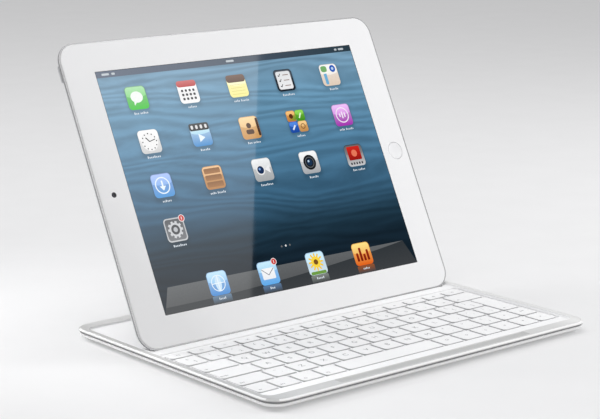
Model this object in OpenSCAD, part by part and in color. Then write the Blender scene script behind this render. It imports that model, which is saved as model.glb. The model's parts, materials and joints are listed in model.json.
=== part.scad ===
// Tablet keyboard case: a thin keyboard cover with a stand groove, and the tablet it holds.
// The keyboard lies on its feet at z = 0, keys to the front (-Y), stand groove to the rear.

/* [Cover] */
// Width of the cover, left to right
cover_w = 244.5; // [242:0.5:250]
// Depth of the cover, front to rear
cover_d = 187.5; // [187:0.5:192]
// Corner radius of the cover in plan
cover_r = 11.5; // [10:0.5:14]
// Height of the feet, which is the gap under the shell
foot_h = 1.0; // [0.6:0.1:1.5]
// Height of the top of the rim above the desk
rim_top = 6.7; // [6.5:0.1:7.5]
// Height of the seam between the lower shell and the rim
seam_z = 5.1; // [4.9:0.1:5.3]
// Width of the polished chamfer round the rim
rim_chamfer = 1.36; // [0.8:0.02:1.4]
// Width of the flat rim band at the sides
rim_side = 5.1; // [4.6:0.1:6]
// Width of the flat rim band at the front and the rear
rim_front = 10.2; // [9:0.1:11]
// Wall thickness of the lower shell's floor
floor_t = 0.65; // [0.5:0.05:0.8]

/* [Deck and keys] */
// Height of the deck's surface
deck_top = 5.7; // [5.5:0.1:6]
// Thickness of the deck panel
deck_t = 1.2; // [1:0.1:1.5]
// Height of the web between the keys
web_top = 4.9; // [4.7:0.1:5.1]
// Pitch of the keys from left to right
key_pitch = 15.95; // [15.5:0.05:16]
// Pitch of the key rows from front to rear
row_pitch = 15.5; // [15:0.1:15.8]
// Gap between neighbouring keys
key_gap = 1.6; // [1.2:0.1:2]
// Thickness of a keycap
key_t = 1.6; // [1.4:0.1:1.7]
// Corner radius of a keycap
key_r = 1.7; // [1:0.1:2.5]
// Clearance between a keycap and the web
key_clear = 0.3; // [0.2:0.05:0.4]

/* [Stand] */
// How far the tablet leans back from upright, in degrees
tilt = 26.7; // [20:0.1:35]
// Distance of the tablet's lower front edge behind the middle of the cover
stand_y = 22.9; // [18:0.1:28]
// Height of the tablet's lower front edge above the desk
stand_z = 5.4; // [5.3:0.05:5.6]
// Thickness of the liner on the groove's floor
liner_t = 0.4; // [0.3:0.05:0.5]

/* [Tablet] */
// Long side of the tablet
tab_w = 241.2; // [238:0.1:242]
// Short side of the tablet
tab_h = 185.7; // [180:0.1:187]
// Thickness of the tablet
tab_t = 9.4; // [8.8:0.1:9.6]
// Corner radius of the tablet
tab_r = 12; // [11.6:0.1:14]
// Radius of the curve from the tablet's edge to its back
back_r = 12; // [11:0.1:13]
// Long side of the lit screen
screen_w = 197.1; // [190:0.1:200]
// Short side of the lit screen
screen_h = 147.8; // [140:0.1:150]
// Radius of the home button
home_r = 5.6; // [4.5:0.1:6]

/* [Hinge clip] */
// Length of the magnetic hinge clip
clip_l = 90; // [60:1:110]
// How far the clip's blade reaches from its hinge axis
clip_reach = 9; // [7:0.5:10]
// Thickness of the clip's blade
clip_t = 3.2; // [2.8:0.1:3.4]
// Radius of the hinge pin
pin_r = 0.9; // [0.7:0.05:1]

/* [Hidden] */
$fn = 64;
e = 0.05;

// Centre of the curve under the cover's edge, and how far in from the edge it runs
under_r = 9;
under_inset = 7.5;
// Centre of the curve behind the tablet's edge, and how far in from the edge it runs
back_inset = 11.4;
// The whole object's middle, front to rear, is the origin
rear_most = stand_y + (tab_h - back_inset) * sin(tilt) - (back_r - tab_t) * cos(tilt) + back_r;
origin_y = (rear_most - cover_d / 2) / 2;

// Inside of the cover
floor_z = foot_h + floor_t;
cavity_inset = 5;
deck_under = deck_top - deck_t;
deck_w = cover_w - 2 * rim_side - 0.2;
deck_d = cover_d - 2 * rim_front - 0.2;

// Stack under the keys, from the floor up
plate_t = 0.4;
sheet_t = 0.2;
sheet_top = floor_z + plate_t + sheet_t;
key_bottom = deck_top - key_t;

// Key layout: the rows' front lines run in the middle of the gaps, front row first
keys_half = 115.4;
row_1_line = -74.1;
fn_row_depth = 8.6;
bed_x = 116.3;
bed_front = row_1_line - 0.8;
bed_rear = 15.3;
// Left edge of the first plain key in the letter rows, from the widths of the side keys
side_key_1 = 115.4 - 100.65;
number_x = keys_half - 15.9;
top_x = keys_half - 25.3;
home_x = keys_half - 29.2;
bottom_x = keys_half - 24.65;
space_x0 = -52.1;
space_x1 = space_x0 + 73.5;

// Stand groove
groove_front = stand_y - 0.3;
groove_rear = stand_y + 8.1;
groove_half = 113.5;
groove_floor = 4.15;
channel_under = 3.75;

// Hinge at the rear edge
hinge_y = cover_d / 2 + 0.85;
hinge_z = 4.2;
barrel_r = 1.9;
ear_t = 4;
notch_half = clip_l / 2 + 0.4 + ear_t + 0.2;
notch_y = cover_d / 2 - 3.4;

// Screws sit over the feet
foot_x = 98;
foot_y = 80;
foot_r = 4.5;
head_r = 2;
head_t = 0.6;
shank_r = 0.9;
post_r = 2.3;

// Controls on the right edge
edge_z = 3.95;
usb_y = 62;
button_y = 50;
switch_y = 38;
light_y = 28;
button_r = 0.95;
switch_half = 0.7;

module placed() {
    translate([0, -origin_y, 0]) children();
}

// The tablet's own axes: X along its long side, Y up its face, Z out of the glass
module on_tablet() {
    placed() translate([0, stand_y, stand_z]) rotate([90 - tilt, 0, 0]) children();
}

module rounded(w, d, r) {
    union() {
        square([w - 2 * r, d], center = true);
        square([w, d - 2 * r], center = true);
        for (x = [-1, 1], y = [-1, 1]) {
            translate([x * (w / 2 - r), y * (d / 2 - r)]) circle(r);
        }
    }
}

module plate(w, d, r, z0, z1) {
    translate([0, 0, z0]) linear_extrude(z1 - z0) rounded(w, d, r);
}

module block(x0, x1, y0, y1, z0, z1) {
    translate([x0, y0, z0]) cube([x1 - x0, y1 - y0, z1 - z0]);
}

// A solid whose edge follows a profile all round a rounded rectangle. The child is half
// of the section: x = 0 on the corner's axis, x = r on the outer edge.
module edged(w, d, r, z0, z1) {
    union() {
        block(-w / 2 + r, w / 2 - r, -d / 2 + r, d / 2 - r, z0, z1);
        for (i = [0:3]) {
            long = i % 2 == 0 ? w : d;
            wide = i % 2 == 0 ? d : w;
            rotate(90 * i) translate([long / 2 - r, -wide / 2 + r, 0]) rotate([90, 0, -90])
                linear_extrude(long - 2 * r) children();
            rotate(90 * i) translate([long / 2 - r, -wide / 2 + r, 0]) rotate(-90)
                rotate_extrude(angle = 90) children();
        }
    }
}

module shell_section() {
    union() {
        translate([0, foot_h]) square([cover_r - under_inset, seam_z - foot_h]);
        intersection() {
            translate([0, foot_h]) square([cover_r, seam_z - foot_h]);
            translate([cover_r - under_inset, foot_h + under_r]) circle(under_r, $fn = 96);
        }
    }
}

module back_section() {
    union() {
        translate([0, -tab_t]) square([tab_r - back_inset, tab_t - 0.35]);
        intersection() {
            translate([0, -tab_t]) square([tab_r, tab_t - 0.35]);
            translate([tab_r - back_inset, back_r - tab_t]) circle(back_r, $fn = 96);
        }
    }
}

module at_feet() {
    for (x = [-1, 1], y = [-1, 1]) translate([x * foot_x, y * foot_y, 0]) children();
}

module hinge_notch() {
    block(-notch_half, notch_half, notch_y, cover_d / 2 + 1, 0, rim_top + 1);
}

// ---- The cover ----

module bottom_shell() {
    color("silver") placed() difference() {
        union() {
            difference() {
                edged(cover_w, cover_d, cover_r, foot_h, seam_z) shell_section();
                plate(cover_w - 2 * cavity_inset, cover_d - 2 * cavity_inset, 6.5, floor_z,
                    seam_z + 1);
            }
            at_feet() translate([0, 0, floor_z - e]) cylinder(r = post_r, h = deck_under - floor_z + e);
        }
        hinge_notch();
        at_feet() {
            translate([0, 0, foot_h - 1]) cylinder(r = head_r + 0.1, h = head_t + 1.1);
            cylinder(r = shank_r + 0.1, h = rim_top);
        }
        // Openings in the right edge for the socket, button, switch and light
        block(cover_w / 2 - 8, cover_w / 2 + 1, usb_y - 4.1, usb_y + 4.1, edge_z - 1.35, edge_z + 1);
        translate([cover_w / 2 - 8, button_y, edge_z]) rotate([0, 90, 0])
            cylinder(r = button_r + 0.05, h = 9);
        block(cover_w / 2 - 8, cover_w / 2 + 1, switch_y - 4.2, switch_y + 4.2, edge_z - 0.9, edge_z + 0.9);
        translate([cover_w / 2 - 8, light_y, edge_z]) rotate([0, 90, 0]) cylinder(r = 0.6, h = 9);
    }
}

module rim_section() {
    polygon([[0, seam_z], [cover_r - 0.7, seam_z], [cover_r - 0.7, seam_z + 0.22],
        [cover_r, seam_z + 0.22], [cover_r, rim_top - rim_chamfer],
        [cover_r - rim_chamfer, rim_top], [0, rim_top]]);
}

module rim_frame() {
    color("gainsboro") placed() difference() {
        edged(cover_w, cover_d, cover_r, seam_z, rim_top) rim_section();
        plate(cover_w - 2 * rim_side, cover_d - 2 * rim_front, 5.5, 0, rim_top + 1);
        hinge_notch();
        // Shallow thumb scoop in the front band
        block(-73, 73, -cover_d / 2 + 2.6, -cover_d / 2 + 9.2, rim_top - 0.3, rim_top + 1);
    }
}

module deck_panel() {
    color("white") placed() difference() {
        union() {
            plate(deck_w, deck_d, 5.4, deck_under, deck_top);
            block(-groove_half - 1.5, groove_half + 1.5, groove_front - 1.5, groove_rear + 1.5,
                channel_under, deck_under + e);
        }
        block(-bed_x, bed_x, bed_front, bed_rear, 0, deck_top + 1);
        block(-groove_half, groove_half, groove_front, groove_rear, groove_floor, deck_top + 1);
        at_feet() cylinder(r = shank_r, h = deck_under + 0.7);
        // Relief in the underside over the socket, the button and the switch
        block(cover_w / 2 - 7.2, cover_w / 2, switch_y - 4.5, usb_y + 4.5, 0, edge_z + button_r + 0.1);
    }
}

module groove_liner() {
    color("lightgray") placed()
        block(-groove_half + 0.2, groove_half - 0.2, groove_front + 0.1, groove_rear - 0.1,
            groove_floor, groove_floor + liner_t - 0.2);
}

module groove_magnets() {
    color("dimgray") placed() for (x = [-95, -70, -45, -20, 5, 30, 85]) {
        block(x, x + 18, groove_front + 0.5, groove_rear - 0.5, sheet_top + 0.1, channel_under - 0.05);
    }
}

module wake_magnet() {
    color("dimgray") placed() block(108, 113, -60 - 22.5, -60 - 17.5, floor_z + 0.05, 4.2);
}

// ---- The keyboard ----

// Each key: left edge, right edge, front line, rear line, all on the middle of the gaps
function line_y(row) = row_1_line + row * row_pitch;
function run(x0, n, row) = [for (i = [0:n - 1]) [x0 + i * key_pitch, x0 + (i + 1) * key_pitch,
    line_y(row), line_y(row + 1)]];

fn_keys = [for (i = [0:13]) [-keys_half + i * keys_half / 7, -keys_half + (i + 1) * keys_half / 7,
    line_y(5), line_y(5) + fn_row_depth + key_gap / 2]];
number_row = concat([[-keys_half, -number_x, line_y(4), line_y(5)]], run(-number_x, 12, 4));
backspace = [[-number_x + 12 * key_pitch, keys_half, line_y(4), line_y(5)]];
tab = [[-keys_half, -top_x, line_y(3), line_y(4)]];
top_row = run(-top_x, 12, 3);
return_tall = [[keys_half - side_key_1, keys_half, line_y(2), line_y(4)]];
caps = [[-keys_half, -home_x, line_y(2), line_y(3)]];
narrow = (keys_half - side_key_1 + home_x - 10 * key_pitch) / 2;
home_row = concat(run(-home_x, 10, 2), [for (i = [0, 1])
    [-home_x + 10 * key_pitch + i * narrow, -home_x + 10 * key_pitch + (i + 1) * narrow,
        line_y(2), line_y(3)]]);
left_shift = [[-keys_half, -bottom_x, line_y(1), line_y(2)]];
bottom_row = run(-bottom_x, 11, 1);
up_arrow = [[-bottom_x + 11 * key_pitch, keys_half - side_key_1, line_y(1), line_y(2)]];
right_shift = [[keys_half - side_key_1, keys_half, line_y(1), line_y(2)]];
function front_key(x0, x1) = [[x0, x1, line_y(0), line_y(1)]];
fn_1 = front_key(-keys_half, -100.3);
control_1 = front_key(-100.3, -84.4);
option_1 = front_key(-84.4, -68.4);
command_1 = front_key(-68.4, space_x0);
space = front_key(space_x0, space_x1);
front_pitch = (keys_half - side_key_1 - space_x1) / 5;
function right_key(i) = front_key(space_x1 + i * front_pitch, space_x1 + (i + 1) * front_pitch);
command_2 = right_key(0);
option_2 = right_key(1);
control_2 = right_key(2);
left_arrow = right_key(3);
down_arrow = right_key(4);
right_arrow = front_key(keys_half - side_key_1, keys_half);
all_keys = concat(fn_keys, number_row, backspace, tab, top_row, return_tall, caps, home_row,
    left_shift, bottom_row, up_arrow, right_shift, fn_1, control_1, option_1, command_1,
    space, command_2, option_2, control_2, left_arrow, down_arrow, right_arrow);

module keycaps(keys) {
    color("white") placed() for (k = keys) {
        translate([(k[0] + k[1]) / 2, (k[2] + k[3]) / 2, 0])
            plate(k[1] - k[0] - key_gap, k[3] - k[2] - key_gap, key_r, key_bottom, deck_top);
    }
}

module at_keys() {
    for (k = all_keys) translate([(k[0] + k[1]) / 2, (k[2] + k[3]) / 2, 0]) children();
}

module key_frame() {
    slot = key_gap / 2 - key_clear;
    color("white") placed() difference() {
        union() {
            block(-bed_x - 0.6, bed_x + 0.6, bed_front - 0.9, bed_rear + 0.9,
                key_bottom - 0.1, deck_under - 0.05);
            block(-bed_x + e, bed_x - e, bed_front + e, bed_rear - e, key_bottom, web_top);
        }
        for (k = all_keys) block(k[0] + slot, k[1] - slot, k[2] + slot, k[3] - slot, 0, rim_top);
    }
}

module key_base_plate() {
    color("lightsteelblue") placed()
        block(-bed_x + 0.4, bed_x - 0.4, bed_front - 0.4, bed_rear - 0.4, floor_z, floor_z + plate_t);
}

module membrane_sheet() {
    color("whitesmoke") placed()
        block(-bed_x + 1, bed_x - 1, bed_front + 0.2, bed_rear - 1, floor_z + plate_t, sheet_top);
}

module rubber_domes() {
    color("lightgray") placed() at_keys() translate([0, 0, sheet_top])
        cylinder(r1 = 2.6, r2 = 1.4, h = key_bottom - sheet_top - 0.1);
}

// Two flat frames per key, one inside the other, leaning opposite ways
module scissor_links() {
    lean = 7;
    mid = (sheet_top + key_bottom) / 2;
    color("gainsboro") placed() at_keys() translate([0, 0, mid]) {
        rotate([lean, 0, 0]) link_ring(10.4, 6.4);
        rotate([-lean, 0, 0]) link_ring(8.4, 6.4);
    }
}

module link_ring(w, d) {
    translate([0, 0, -0.2]) linear_extrude(0.4) difference() {
        square([w, d], center = true);
        square([w - 1.6, d - 0.8], center = true);
    }
}

module battery_cells() {
    color("dimgray") placed() for (x = [-106, -26]) block(x, x + 78, 38, 75, floor_z + 0.1, deck_under - 0.2);
}

module controller_board() {
    color("seagreen") placed() union() {
        block(60, 114.6, 36, 74, sheet_top + 0.05, sheet_top + 0.65);
        block(70, 78, 44, 52, sheet_top + 0.6, sheet_top + 1.5);
        block(84, 92, 60, 66, sheet_top + 0.6, sheet_top + 1.3);
    }
}

module usb_socket() {
    color("silver") placed() difference() {
        block(cover_w / 2 - 6.8, cover_w / 2 - 1.5, usb_y - 3.9, usb_y + 3.9, edge_z - 1, edge_z + 0.9);
        block(cover_w / 2 - 6, cover_w / 2, usb_y - 3.5, usb_y + 3.5, edge_z - 0.7, edge_z + 0.6);
    }
}

module ribbon_cable() {
    color("orange") placed() block(62, 72, bed_rear - 1, 46, floor_z + plate_t, sheet_top - 0.05);
}

module status_light() {
    color("lightgreen") placed() translate([cover_w / 2 - 6, light_y, edge_z]) rotate([0, 90, 0])
        cylinder(r = 0.55, h = 5.1);
}

module rubber_feet() {
    color("lightgray") placed() at_feet() cylinder(r = foot_r, h = foot_h);
}

module case_screws() {
    color("dimgray") placed() at_feet() union() {
        translate([0, 0, foot_h + 0.05]) cylinder(r = head_r, h = head_t);
        translate([0, 0, foot_h + 0.1]) cylinder(r = shank_r, h = deck_under + 0.6 - foot_h - 0.1);
    }
}

// ---- The hinge clip on the rear edge ----

module on_hinge() {
    placed() translate([0, hinge_y, hinge_z]) children();
}

module hinge_bracket() {
    ear_x = clip_l / 2 + 0.4 + ear_t / 2;
    color("silver") for (s = [-1, 1]) on_hinge() translate([s * ear_x, 0, 0]) difference() {
        union() {
            rotate([0, 90, 0]) cylinder(r = barrel_r, h = ear_t, center = true);
            block(-ear_t / 2, ear_t / 2, notch_y - hinge_y, 0, -barrel_r, barrel_r);
        }
        rotate([0, 90, 0]) cylinder(r = pin_r, h = ear_t + 1, center = true);
    }
}

module hinge_pin() {
    color("gray") on_hinge() rotate([0, 90, 0]) cylinder(r = pin_r, h = clip_l + 2 * ear_t, center = true);
}

module hinge_clip() {
    color("silver") on_hinge() difference() {
        union() {
            rotate([0, 90, 0]) cylinder(r = barrel_r, h = clip_l, center = true);
            block(-clip_l / 2, clip_l / 2, 0, clip_reach, -clip_t / 2, clip_t / 2);
        }
        rotate([0, 90, 0]) cylinder(r = pin_r + 0.05, h = clip_l + 1, center = true);
        for (x = [-38, -12, 14]) block(x, x + 24, 2.5, clip_reach - 1, -0.6, clip_t);
    }
}

module clip_magnets() {
    color("dimgray") on_hinge() for (x = [-38, -12, 14])
        block(x + e, x + 24 - e, 2.5 + e, clip_reach - 1 - e, -0.6 + e, clip_t / 2);
}

// ---- Controls on the right edge ----

module power_switch() {
    color("gray") placed() union() {
        block(cover_w / 2 - 6.5, cover_w / 2 - 2.4, switch_y - 3.9, switch_y + 1.3,
            edge_z - switch_half, edge_z + switch_half);
        block(cover_w / 2 - 3, cover_w / 2 - 0.35, switch_y - 3, switch_y,
            edge_z - switch_half, edge_z + switch_half);
    }
}

module connect_button() {
    color("gray") placed() translate([cover_w / 2 - 6.2, button_y, edge_z]) rotate([0, 90, 0])
        cylinder(r = button_r, h = 5.85);
}

// ---- The tablet ----

// Height on the tablet's face of its long centre line
mid_v = tab_h / 2;
camera_x = -109.6;
rear_camera = [-108, tab_h - 12.5];
jack_v = 23;
jack_w = -4.3;
power_v = tab_h - 17.5;
volume_x = -82;
mute_x = -99;
side_w = -2.9;
side_half = 0.85;

module tablet_shell() {
    color("lightgray") on_tablet() difference() {
        translate([0, mid_v, 0]) edged(tab_w, tab_h, tab_r, -tab_t, -0.35) back_section();
        difference() {
            union() {
                translate([0, mid_v, 0]) plate(tab_w - 2.6, tab_h - 2.6, tab_r - 1.3, -0.95, 1);
                translate([0, mid_v, 0]) plate(tab_w - 8, tab_h - 8, tab_r - 4, -4.2, 1);
                translate([0, mid_v, 0]) plate(tab_w - 18, tab_h - 18, 5, 1 - tab_t, 1);
            }
            // Boss that the headphone bore is drilled in
            block(-tab_w / 2, -tab_w / 2 + 16, jack_v - 3.4, jack_v + 3.4, -tab_t, -1.3);
        }
        translate([-tab_w / 2 - 1, jack_v, jack_w]) rotate([0, 90, 0]) cylinder(r = 1.8, h = 16);
        // Slot of the dock port
        block(tab_w / 2 - 12, tab_w / 2 + 1, mid_v - 4.6, mid_v + 4.6, -4.9, -1.9);
        translate([rear_camera[0], rear_camera[1], -tab_t - 1]) cylinder(r = 3.4, h = 6);
        // Openings for the buttons
        translate([0, 0, side_w - side_half - 0.3]) linear_extrude(2 * side_half + 0.6) {
            translate([-tab_w / 2 - 1, power_v - 5.3]) square([7, 10.6]);
            translate([volume_x - 10.3, tab_h - 6]) square([20.6, 7]);
            translate([mute_x - 3.3, tab_h - 6]) square([6.6, 7]);
        }
    }
}

module tablet_glass() {
    color("white") on_tablet() difference() {
        translate([0, mid_v, 0]) plate(tab_w - 2.8, tab_h - 2.8, tab_r - 1.4, -0.9, 0);
        translate([-camera_x, mid_v, -2]) cylinder(r = home_r + 0.3, h = 3);
    }
}

module tablet_display() {
    color("midnightblue") on_tablet() translate([0, mid_v, 0])
        plate(screen_w + 4, screen_h + 4, 1, -3.2, -0.95);
}

module tablet_battery() {
    color("dimgray") on_tablet() for (x = [-88, -29, 30])
        block(x, x + 57, 24, tab_h - 24, 1.1 - tab_t, -3.4);
}

module tablet_logic_board() {
    color("seagreen") on_tablet() block(-110, -92, 40, tab_h - 40, -6.2, -5.2);
}

module tablet_front_camera() {
    color("black") on_tablet() translate([camera_x, mid_v, -3.6]) cylinder(r = 2.2, h = 2.65);
}

module tablet_rear_camera() {
    color("black") on_tablet() translate([rear_camera[0], rear_camera[1], 0.15 - tab_t])
        cylinder(r = 3.2, h = 4);
}

module tablet_dock_port() {
    color("silver") on_tablet() difference() {
        block(tab_w / 2 - 11.5, tab_w / 2 - 2.2, mid_v - 4.4, mid_v + 4.4, -4.7, -2.1);
        block(tab_w / 2 - 10.5, tab_w / 2, mid_v - 4, mid_v + 4, -4.3, -2.5);
    }
}

module tablet_magnets() {
    color("dimgray") on_tablet() for (x = [-90, -60, -30, 12, 42, 72])
        block(x, x + 18, 4.6, 8.4, -4.1, -2);
}

module home_button() {
    color("white") on_tablet() translate([-camera_x, mid_v, -1.5]) cylinder(r = home_r, h = 1.45);
}

module tablet_power_button() {
    color("silver") on_tablet() union() {
        for (step = [[0.15, 2.5, 5], [2, 4.5, 1.5], [4.1, 5.6, 4]]) {
            block(-tab_w / 2 + step[0], -tab_w / 2 + step[1], power_v - step[2], power_v + step[2],
                side_w - side_half, side_w + side_half);
        }
    }
}

// The rocker turns on a round lug at the back of its middle
module volume_rocker() {
    color("silver") on_tablet() union() {
        block(volume_x - 10, volume_x + 10, tab_h - 3.4, tab_h - 0.15,
            side_w - side_half, side_w + side_half);
        translate([volume_x, tab_h - 3.6, side_w - side_half]) cylinder(r = 1.1, h = 2 * side_half);
    }
}

module mute_switch() {
    color("silver") on_tablet() block(mute_x - 2.9, mute_x + 0.9, tab_h - 3.4, tab_h - 0.15,
        side_w - side_half, side_w + side_half);
}

bottom_shell();
rim_frame();
deck_panel();
key_frame();
groove_liner();
groove_magnets();
wake_magnet();
key_base_plate();
membrane_sheet();
rubber_domes();
scissor_links();
battery_cells();
controller_board();
usb_socket();
ribbon_cable();
status_light();
rubber_feet();
case_screws();
hinge_bracket();
hinge_pin();
hinge_clip();
clip_magnets();
power_switch();
connect_button();
keycaps(fn_keys);  // function_keys
keycaps(number_row);  // number_keys
keycaps(backspace);  // backspace_key
keycaps(tab);  // tab_key
keycaps(top_row);  // top_letter_keys
keycaps(return_tall);  // return_key
keycaps(caps);  // caps_lock_key
keycaps(home_row);  // home_letter_keys
keycaps(left_shift);  // left_shift_key
keycaps(bottom_row);  // bottom_letter_keys
keycaps(up_arrow);  // up_arrow_key
keycaps(right_shift);  // right_shift_key
keycaps(fn_1);  // fn_key
keycaps(control_1);  // control_key
keycaps(option_1);  // left_option_key
keycaps(command_1);  // left_command_key
keycaps(space);  // space_bar
keycaps(command_2);  // right_command_key
keycaps(option_2);  // right_option_key
keycaps(control_2);  // right_control_key
keycaps(left_arrow);  // left_arrow_key
keycaps(down_arrow);  // down_arrow_key
keycaps(right_arrow);  // right_arrow_key
tablet_shell();
tablet_glass();
tablet_display();
tablet_battery();
tablet_logic_board();
tablet_front_camera();
tablet_rear_camera();
tablet_dock_port();
tablet_magnets();
home_button();
tablet_power_button();
volume_rocker();
mute_switch();
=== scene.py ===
import json
import math
import bpy
import bmesh
from mathutils import Matrix, Vector

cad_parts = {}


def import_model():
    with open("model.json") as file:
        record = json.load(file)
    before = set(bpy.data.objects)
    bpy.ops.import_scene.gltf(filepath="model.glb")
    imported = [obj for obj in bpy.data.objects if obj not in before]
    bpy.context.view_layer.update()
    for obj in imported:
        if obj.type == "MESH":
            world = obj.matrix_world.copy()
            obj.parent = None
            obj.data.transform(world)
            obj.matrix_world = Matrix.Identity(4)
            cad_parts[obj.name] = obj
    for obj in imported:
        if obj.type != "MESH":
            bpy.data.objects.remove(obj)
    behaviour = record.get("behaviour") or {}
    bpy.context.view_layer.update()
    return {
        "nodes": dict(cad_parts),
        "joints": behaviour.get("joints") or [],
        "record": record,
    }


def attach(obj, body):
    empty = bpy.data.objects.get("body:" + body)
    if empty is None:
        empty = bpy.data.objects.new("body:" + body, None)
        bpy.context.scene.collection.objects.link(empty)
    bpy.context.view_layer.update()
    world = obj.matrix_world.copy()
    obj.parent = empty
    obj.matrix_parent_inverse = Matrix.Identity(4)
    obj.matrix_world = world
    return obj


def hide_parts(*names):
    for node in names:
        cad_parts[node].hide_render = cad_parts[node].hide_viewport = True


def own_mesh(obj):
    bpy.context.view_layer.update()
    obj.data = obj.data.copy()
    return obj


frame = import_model()

# ---- Axes, all in millimetres from here on ----

MM = 0.001
nodes = frame["nodes"]
joints = {j["name"]: j for j in frame["joints"]}
mounts = {m["name"]: m for m in frame["record"]["mounts"]}


def corners(points):
    """Lowest and highest corner of a set of points."""
    return [Vector([pick(p[i] for p in points) for i in range(3)]) for pick in (min, max)]


def extent(node, turn):
    """Lowest and highest corner of a CAD node, in millimetres, measured along turned axes."""
    return [corner / MM for corner in corners([turn @ v.co for v in nodes[node].data.vertices])]


def plain(node):
    """Lowest and highest corner of a CAD node in the cover's axes."""
    return [corner - cover_origin for corner in extent(node, Matrix.Identity(3))]


def middle(low, high):
    """The point halfway between two corners."""
    return [(a + b) / 2 for a, b in zip(low, high)]


# The cover's axes start on the desk below its middle
rim_low, rim_high = extent("rim_frame", Matrix.Identity(3))
cover_origin = Vector((*middle(rim_low, rim_high)[:2], 0))
COVER = Matrix.Scale(MM, 4) @ Matrix.Translation(cover_origin)

# The tablet's axes start at its lower front edge: U along it, V up its face, W out of the glass
face_up = Vector(joints["tablet_lift"]["axis"]).normalized()
face_out = -Vector(joints["home_press"]["axis"]).normalized()
tablet_turn = Matrix((Vector((1, 0, 0)), face_up, face_out))
shell_low, shell_high = extent("tablet_shell", tablet_turn)
glass_low, glass_high = extent("tablet_glass", tablet_turn)
tablet_origin = Vector(((shell_low.x + shell_high.x) / 2, shell_low.y, glass_high.z))
TABLET = Matrix.Scale(MM, 4) @ tablet_turn.transposed().to_4x4() @ Matrix.Translation(tablet_origin)
ON_TABLET = ("tablet", "home", "tablet_power", "volume", "mute")


def on_tablet(node):
    """Lowest and highest corner of a CAD node in the tablet's axes."""
    return [corner - tablet_origin for corner in extent(node, tablet_turn)]


# ---- Materials ----


def srgb(*levels):
    """Linear colour from display levels of 0 to 255."""
    return tuple(((v / 255 + 0.055) / 1.055) ** 2.4 if v > 10 else v / 3294.6 for v in levels)


class Nodes:
    """A node tree that is filled one node at a time."""

    def __init__(self, tree):
        self.tree = tree

    def add(self, kind, inputs=(), out=0, **settings):
        """A new node with its properties and inputs set. Returns one of its outputs."""
        made = self.tree.nodes.new("ShaderNode" + kind)
        for key, value in settings.items():
            setattr(made, key, value)
        for key, value in dict(inputs).items():
            if hasattr(value, "is_output"):
                self.tree.links.new(value, made.inputs[key])
            else:
                made.inputs[key].default_value = value
        return made.outputs[out]

    def calc(self, operation, *values):
        return self.add("Math", dict(enumerate(values)), operation=operation)

    def vector(self, operation, first, second, out="Vector"):
        """Vector arithmetic. The second value of SCALE is a number."""
        key = "Scale" if operation == "SCALE" else 1
        return self.add("VectorMath", {0: first, key: second}, out, operation=operation)

    def noise(self, place, scale, stretch=(1, 1, 1), detail=3.0):
        """Noise of that many cells per metre, drawn out along an axis."""
        turned = self.add("Mapping", {"Vector": place, "Scale": stretch})
        return self.add("TexNoise", {"Vector": turned, "Scale": scale, "Detail": detail}, "Fac")

    def ramp(self, factor, stops):
        """A colour ramp through (position, colour) stops."""
        colour = self.add("ValToRGB", {"Fac": factor})
        elements = colour.node.color_ramp.elements
        for i, (position, level) in enumerate(stops[:1] + stops[-1:] + stops[1:-1]):
            element = elements[i] if i < 2 else elements.new(position)
            element.position = position
            element.color = (*level, 1)
        return colour

    def moved(self, factor, low, high, first=0.3, last=0.7):
        """A noise value stretched to run from low to high."""
        inputs = {"Value": factor, "From Min": first, "From Max": last, "To Min": low, "To Max": high}
        return self.add("MapRange", inputs)


class Look(Nodes):
    """A material, named by what it looks like, and the coordinates that its patterns follow."""

    def __init__(self, name, space="Object", **settings):
        self.material = bpy.data.materials.new(name)
        self.material.use_nodes = True
        super().__init__(self.material.node_tree)
        self.shader = self.tree.nodes["Principled BSDF"].inputs
        for key, value in settings.items():
            self.shader[key.replace("_", " ")].default_value = value
        self.place = self.add("TexCoord", out=space)
        LOOKS[name] = self.material

    def connect(self, colour, roughness, height, depth, paint="Base Color"):
        """Sends the surface's colour, roughness and relief, so many millimetres deep, to the shader."""
        bump = self.add("Bump", {"Height": height, "Distance": depth * MM})
        for key, value in ((paint, colour), ("Roughness", roughness), ("Normal", bump)):
            self.tree.links.new(value, self.shader[key])


LOOKS = {}
LIT = {"Emission_Strength": 1.0, "Base_Color": (0, 0, 0, 1)}
SATIN = {"Metallic": 1.0}
ANODISED = {"Metallic": 0.3}
BRUSHED = {"stretch": (1, 40, 40)}
# Light and shade painted into the colour of the rim, the keys and the glass along the object: (place in millimetres,
# factor)
RIM_PAINTED_LIGHT_AND_SHADE = [(-122, 0.81), (-112, 0.92), (-100, 1.0), (-76, 0.99), (60, 1.0), (96, 1.05), (108, 1.2), (115, 1.3),
             (122, 1.15)]
KEY_PAINTED_SHADE = [(-120, 0.905), (-95, 0.925), (-60, 0.99), (120, 1.0)]
GLASS_PAINTED_SHADE = [(-110, 0.88), (-78, 0.89), (-54, 0.955), (-20, 0.985), (20, 1.0)]


def finish(name, colour, roughness, grain=900, relief=0.004, spread=0.02, stretch=(1, 1, 1), across=None, lean=0,
           **settings):
    """A moulded, cast or brushed surface: colour, roughness and relief all vary with fine noise.

    Across lists (x + lean * z in millimetres, factor on the colour), for light and shade painted into the colour along
    a part.
    """
    look = Look(name, **settings)
    fine = look.noise(look.place, grain, stretch)
    shades = [(at, [min(c * share, 1) for c in colour]) for at, share in ((0.3, 1 - spread), (0.7, 1 + spread))]
    tint = look.ramp(look.noise(look.place, 25, detail=2.0), shades)
    if across:
        x = look.vector("DOT_PRODUCT", look.place, (1, 0, lean), "Value")
        low, high = across[0][0], across[-1][0]
        share = look.moved(x, 0, 1, low * MM, high * MM)
        # Painted light and shade: the colour is multiplied by the factors along the part
        shine = look.ramp(share, [((at - low) / (high - low), (f, f, f)) for at, f in across])
        tint = look.vector("MULTIPLY", tint, shine)
    look.connect(tint, look.moved(fine, roughness * 0.88, roughness * 1.12), fine, relief)


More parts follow.
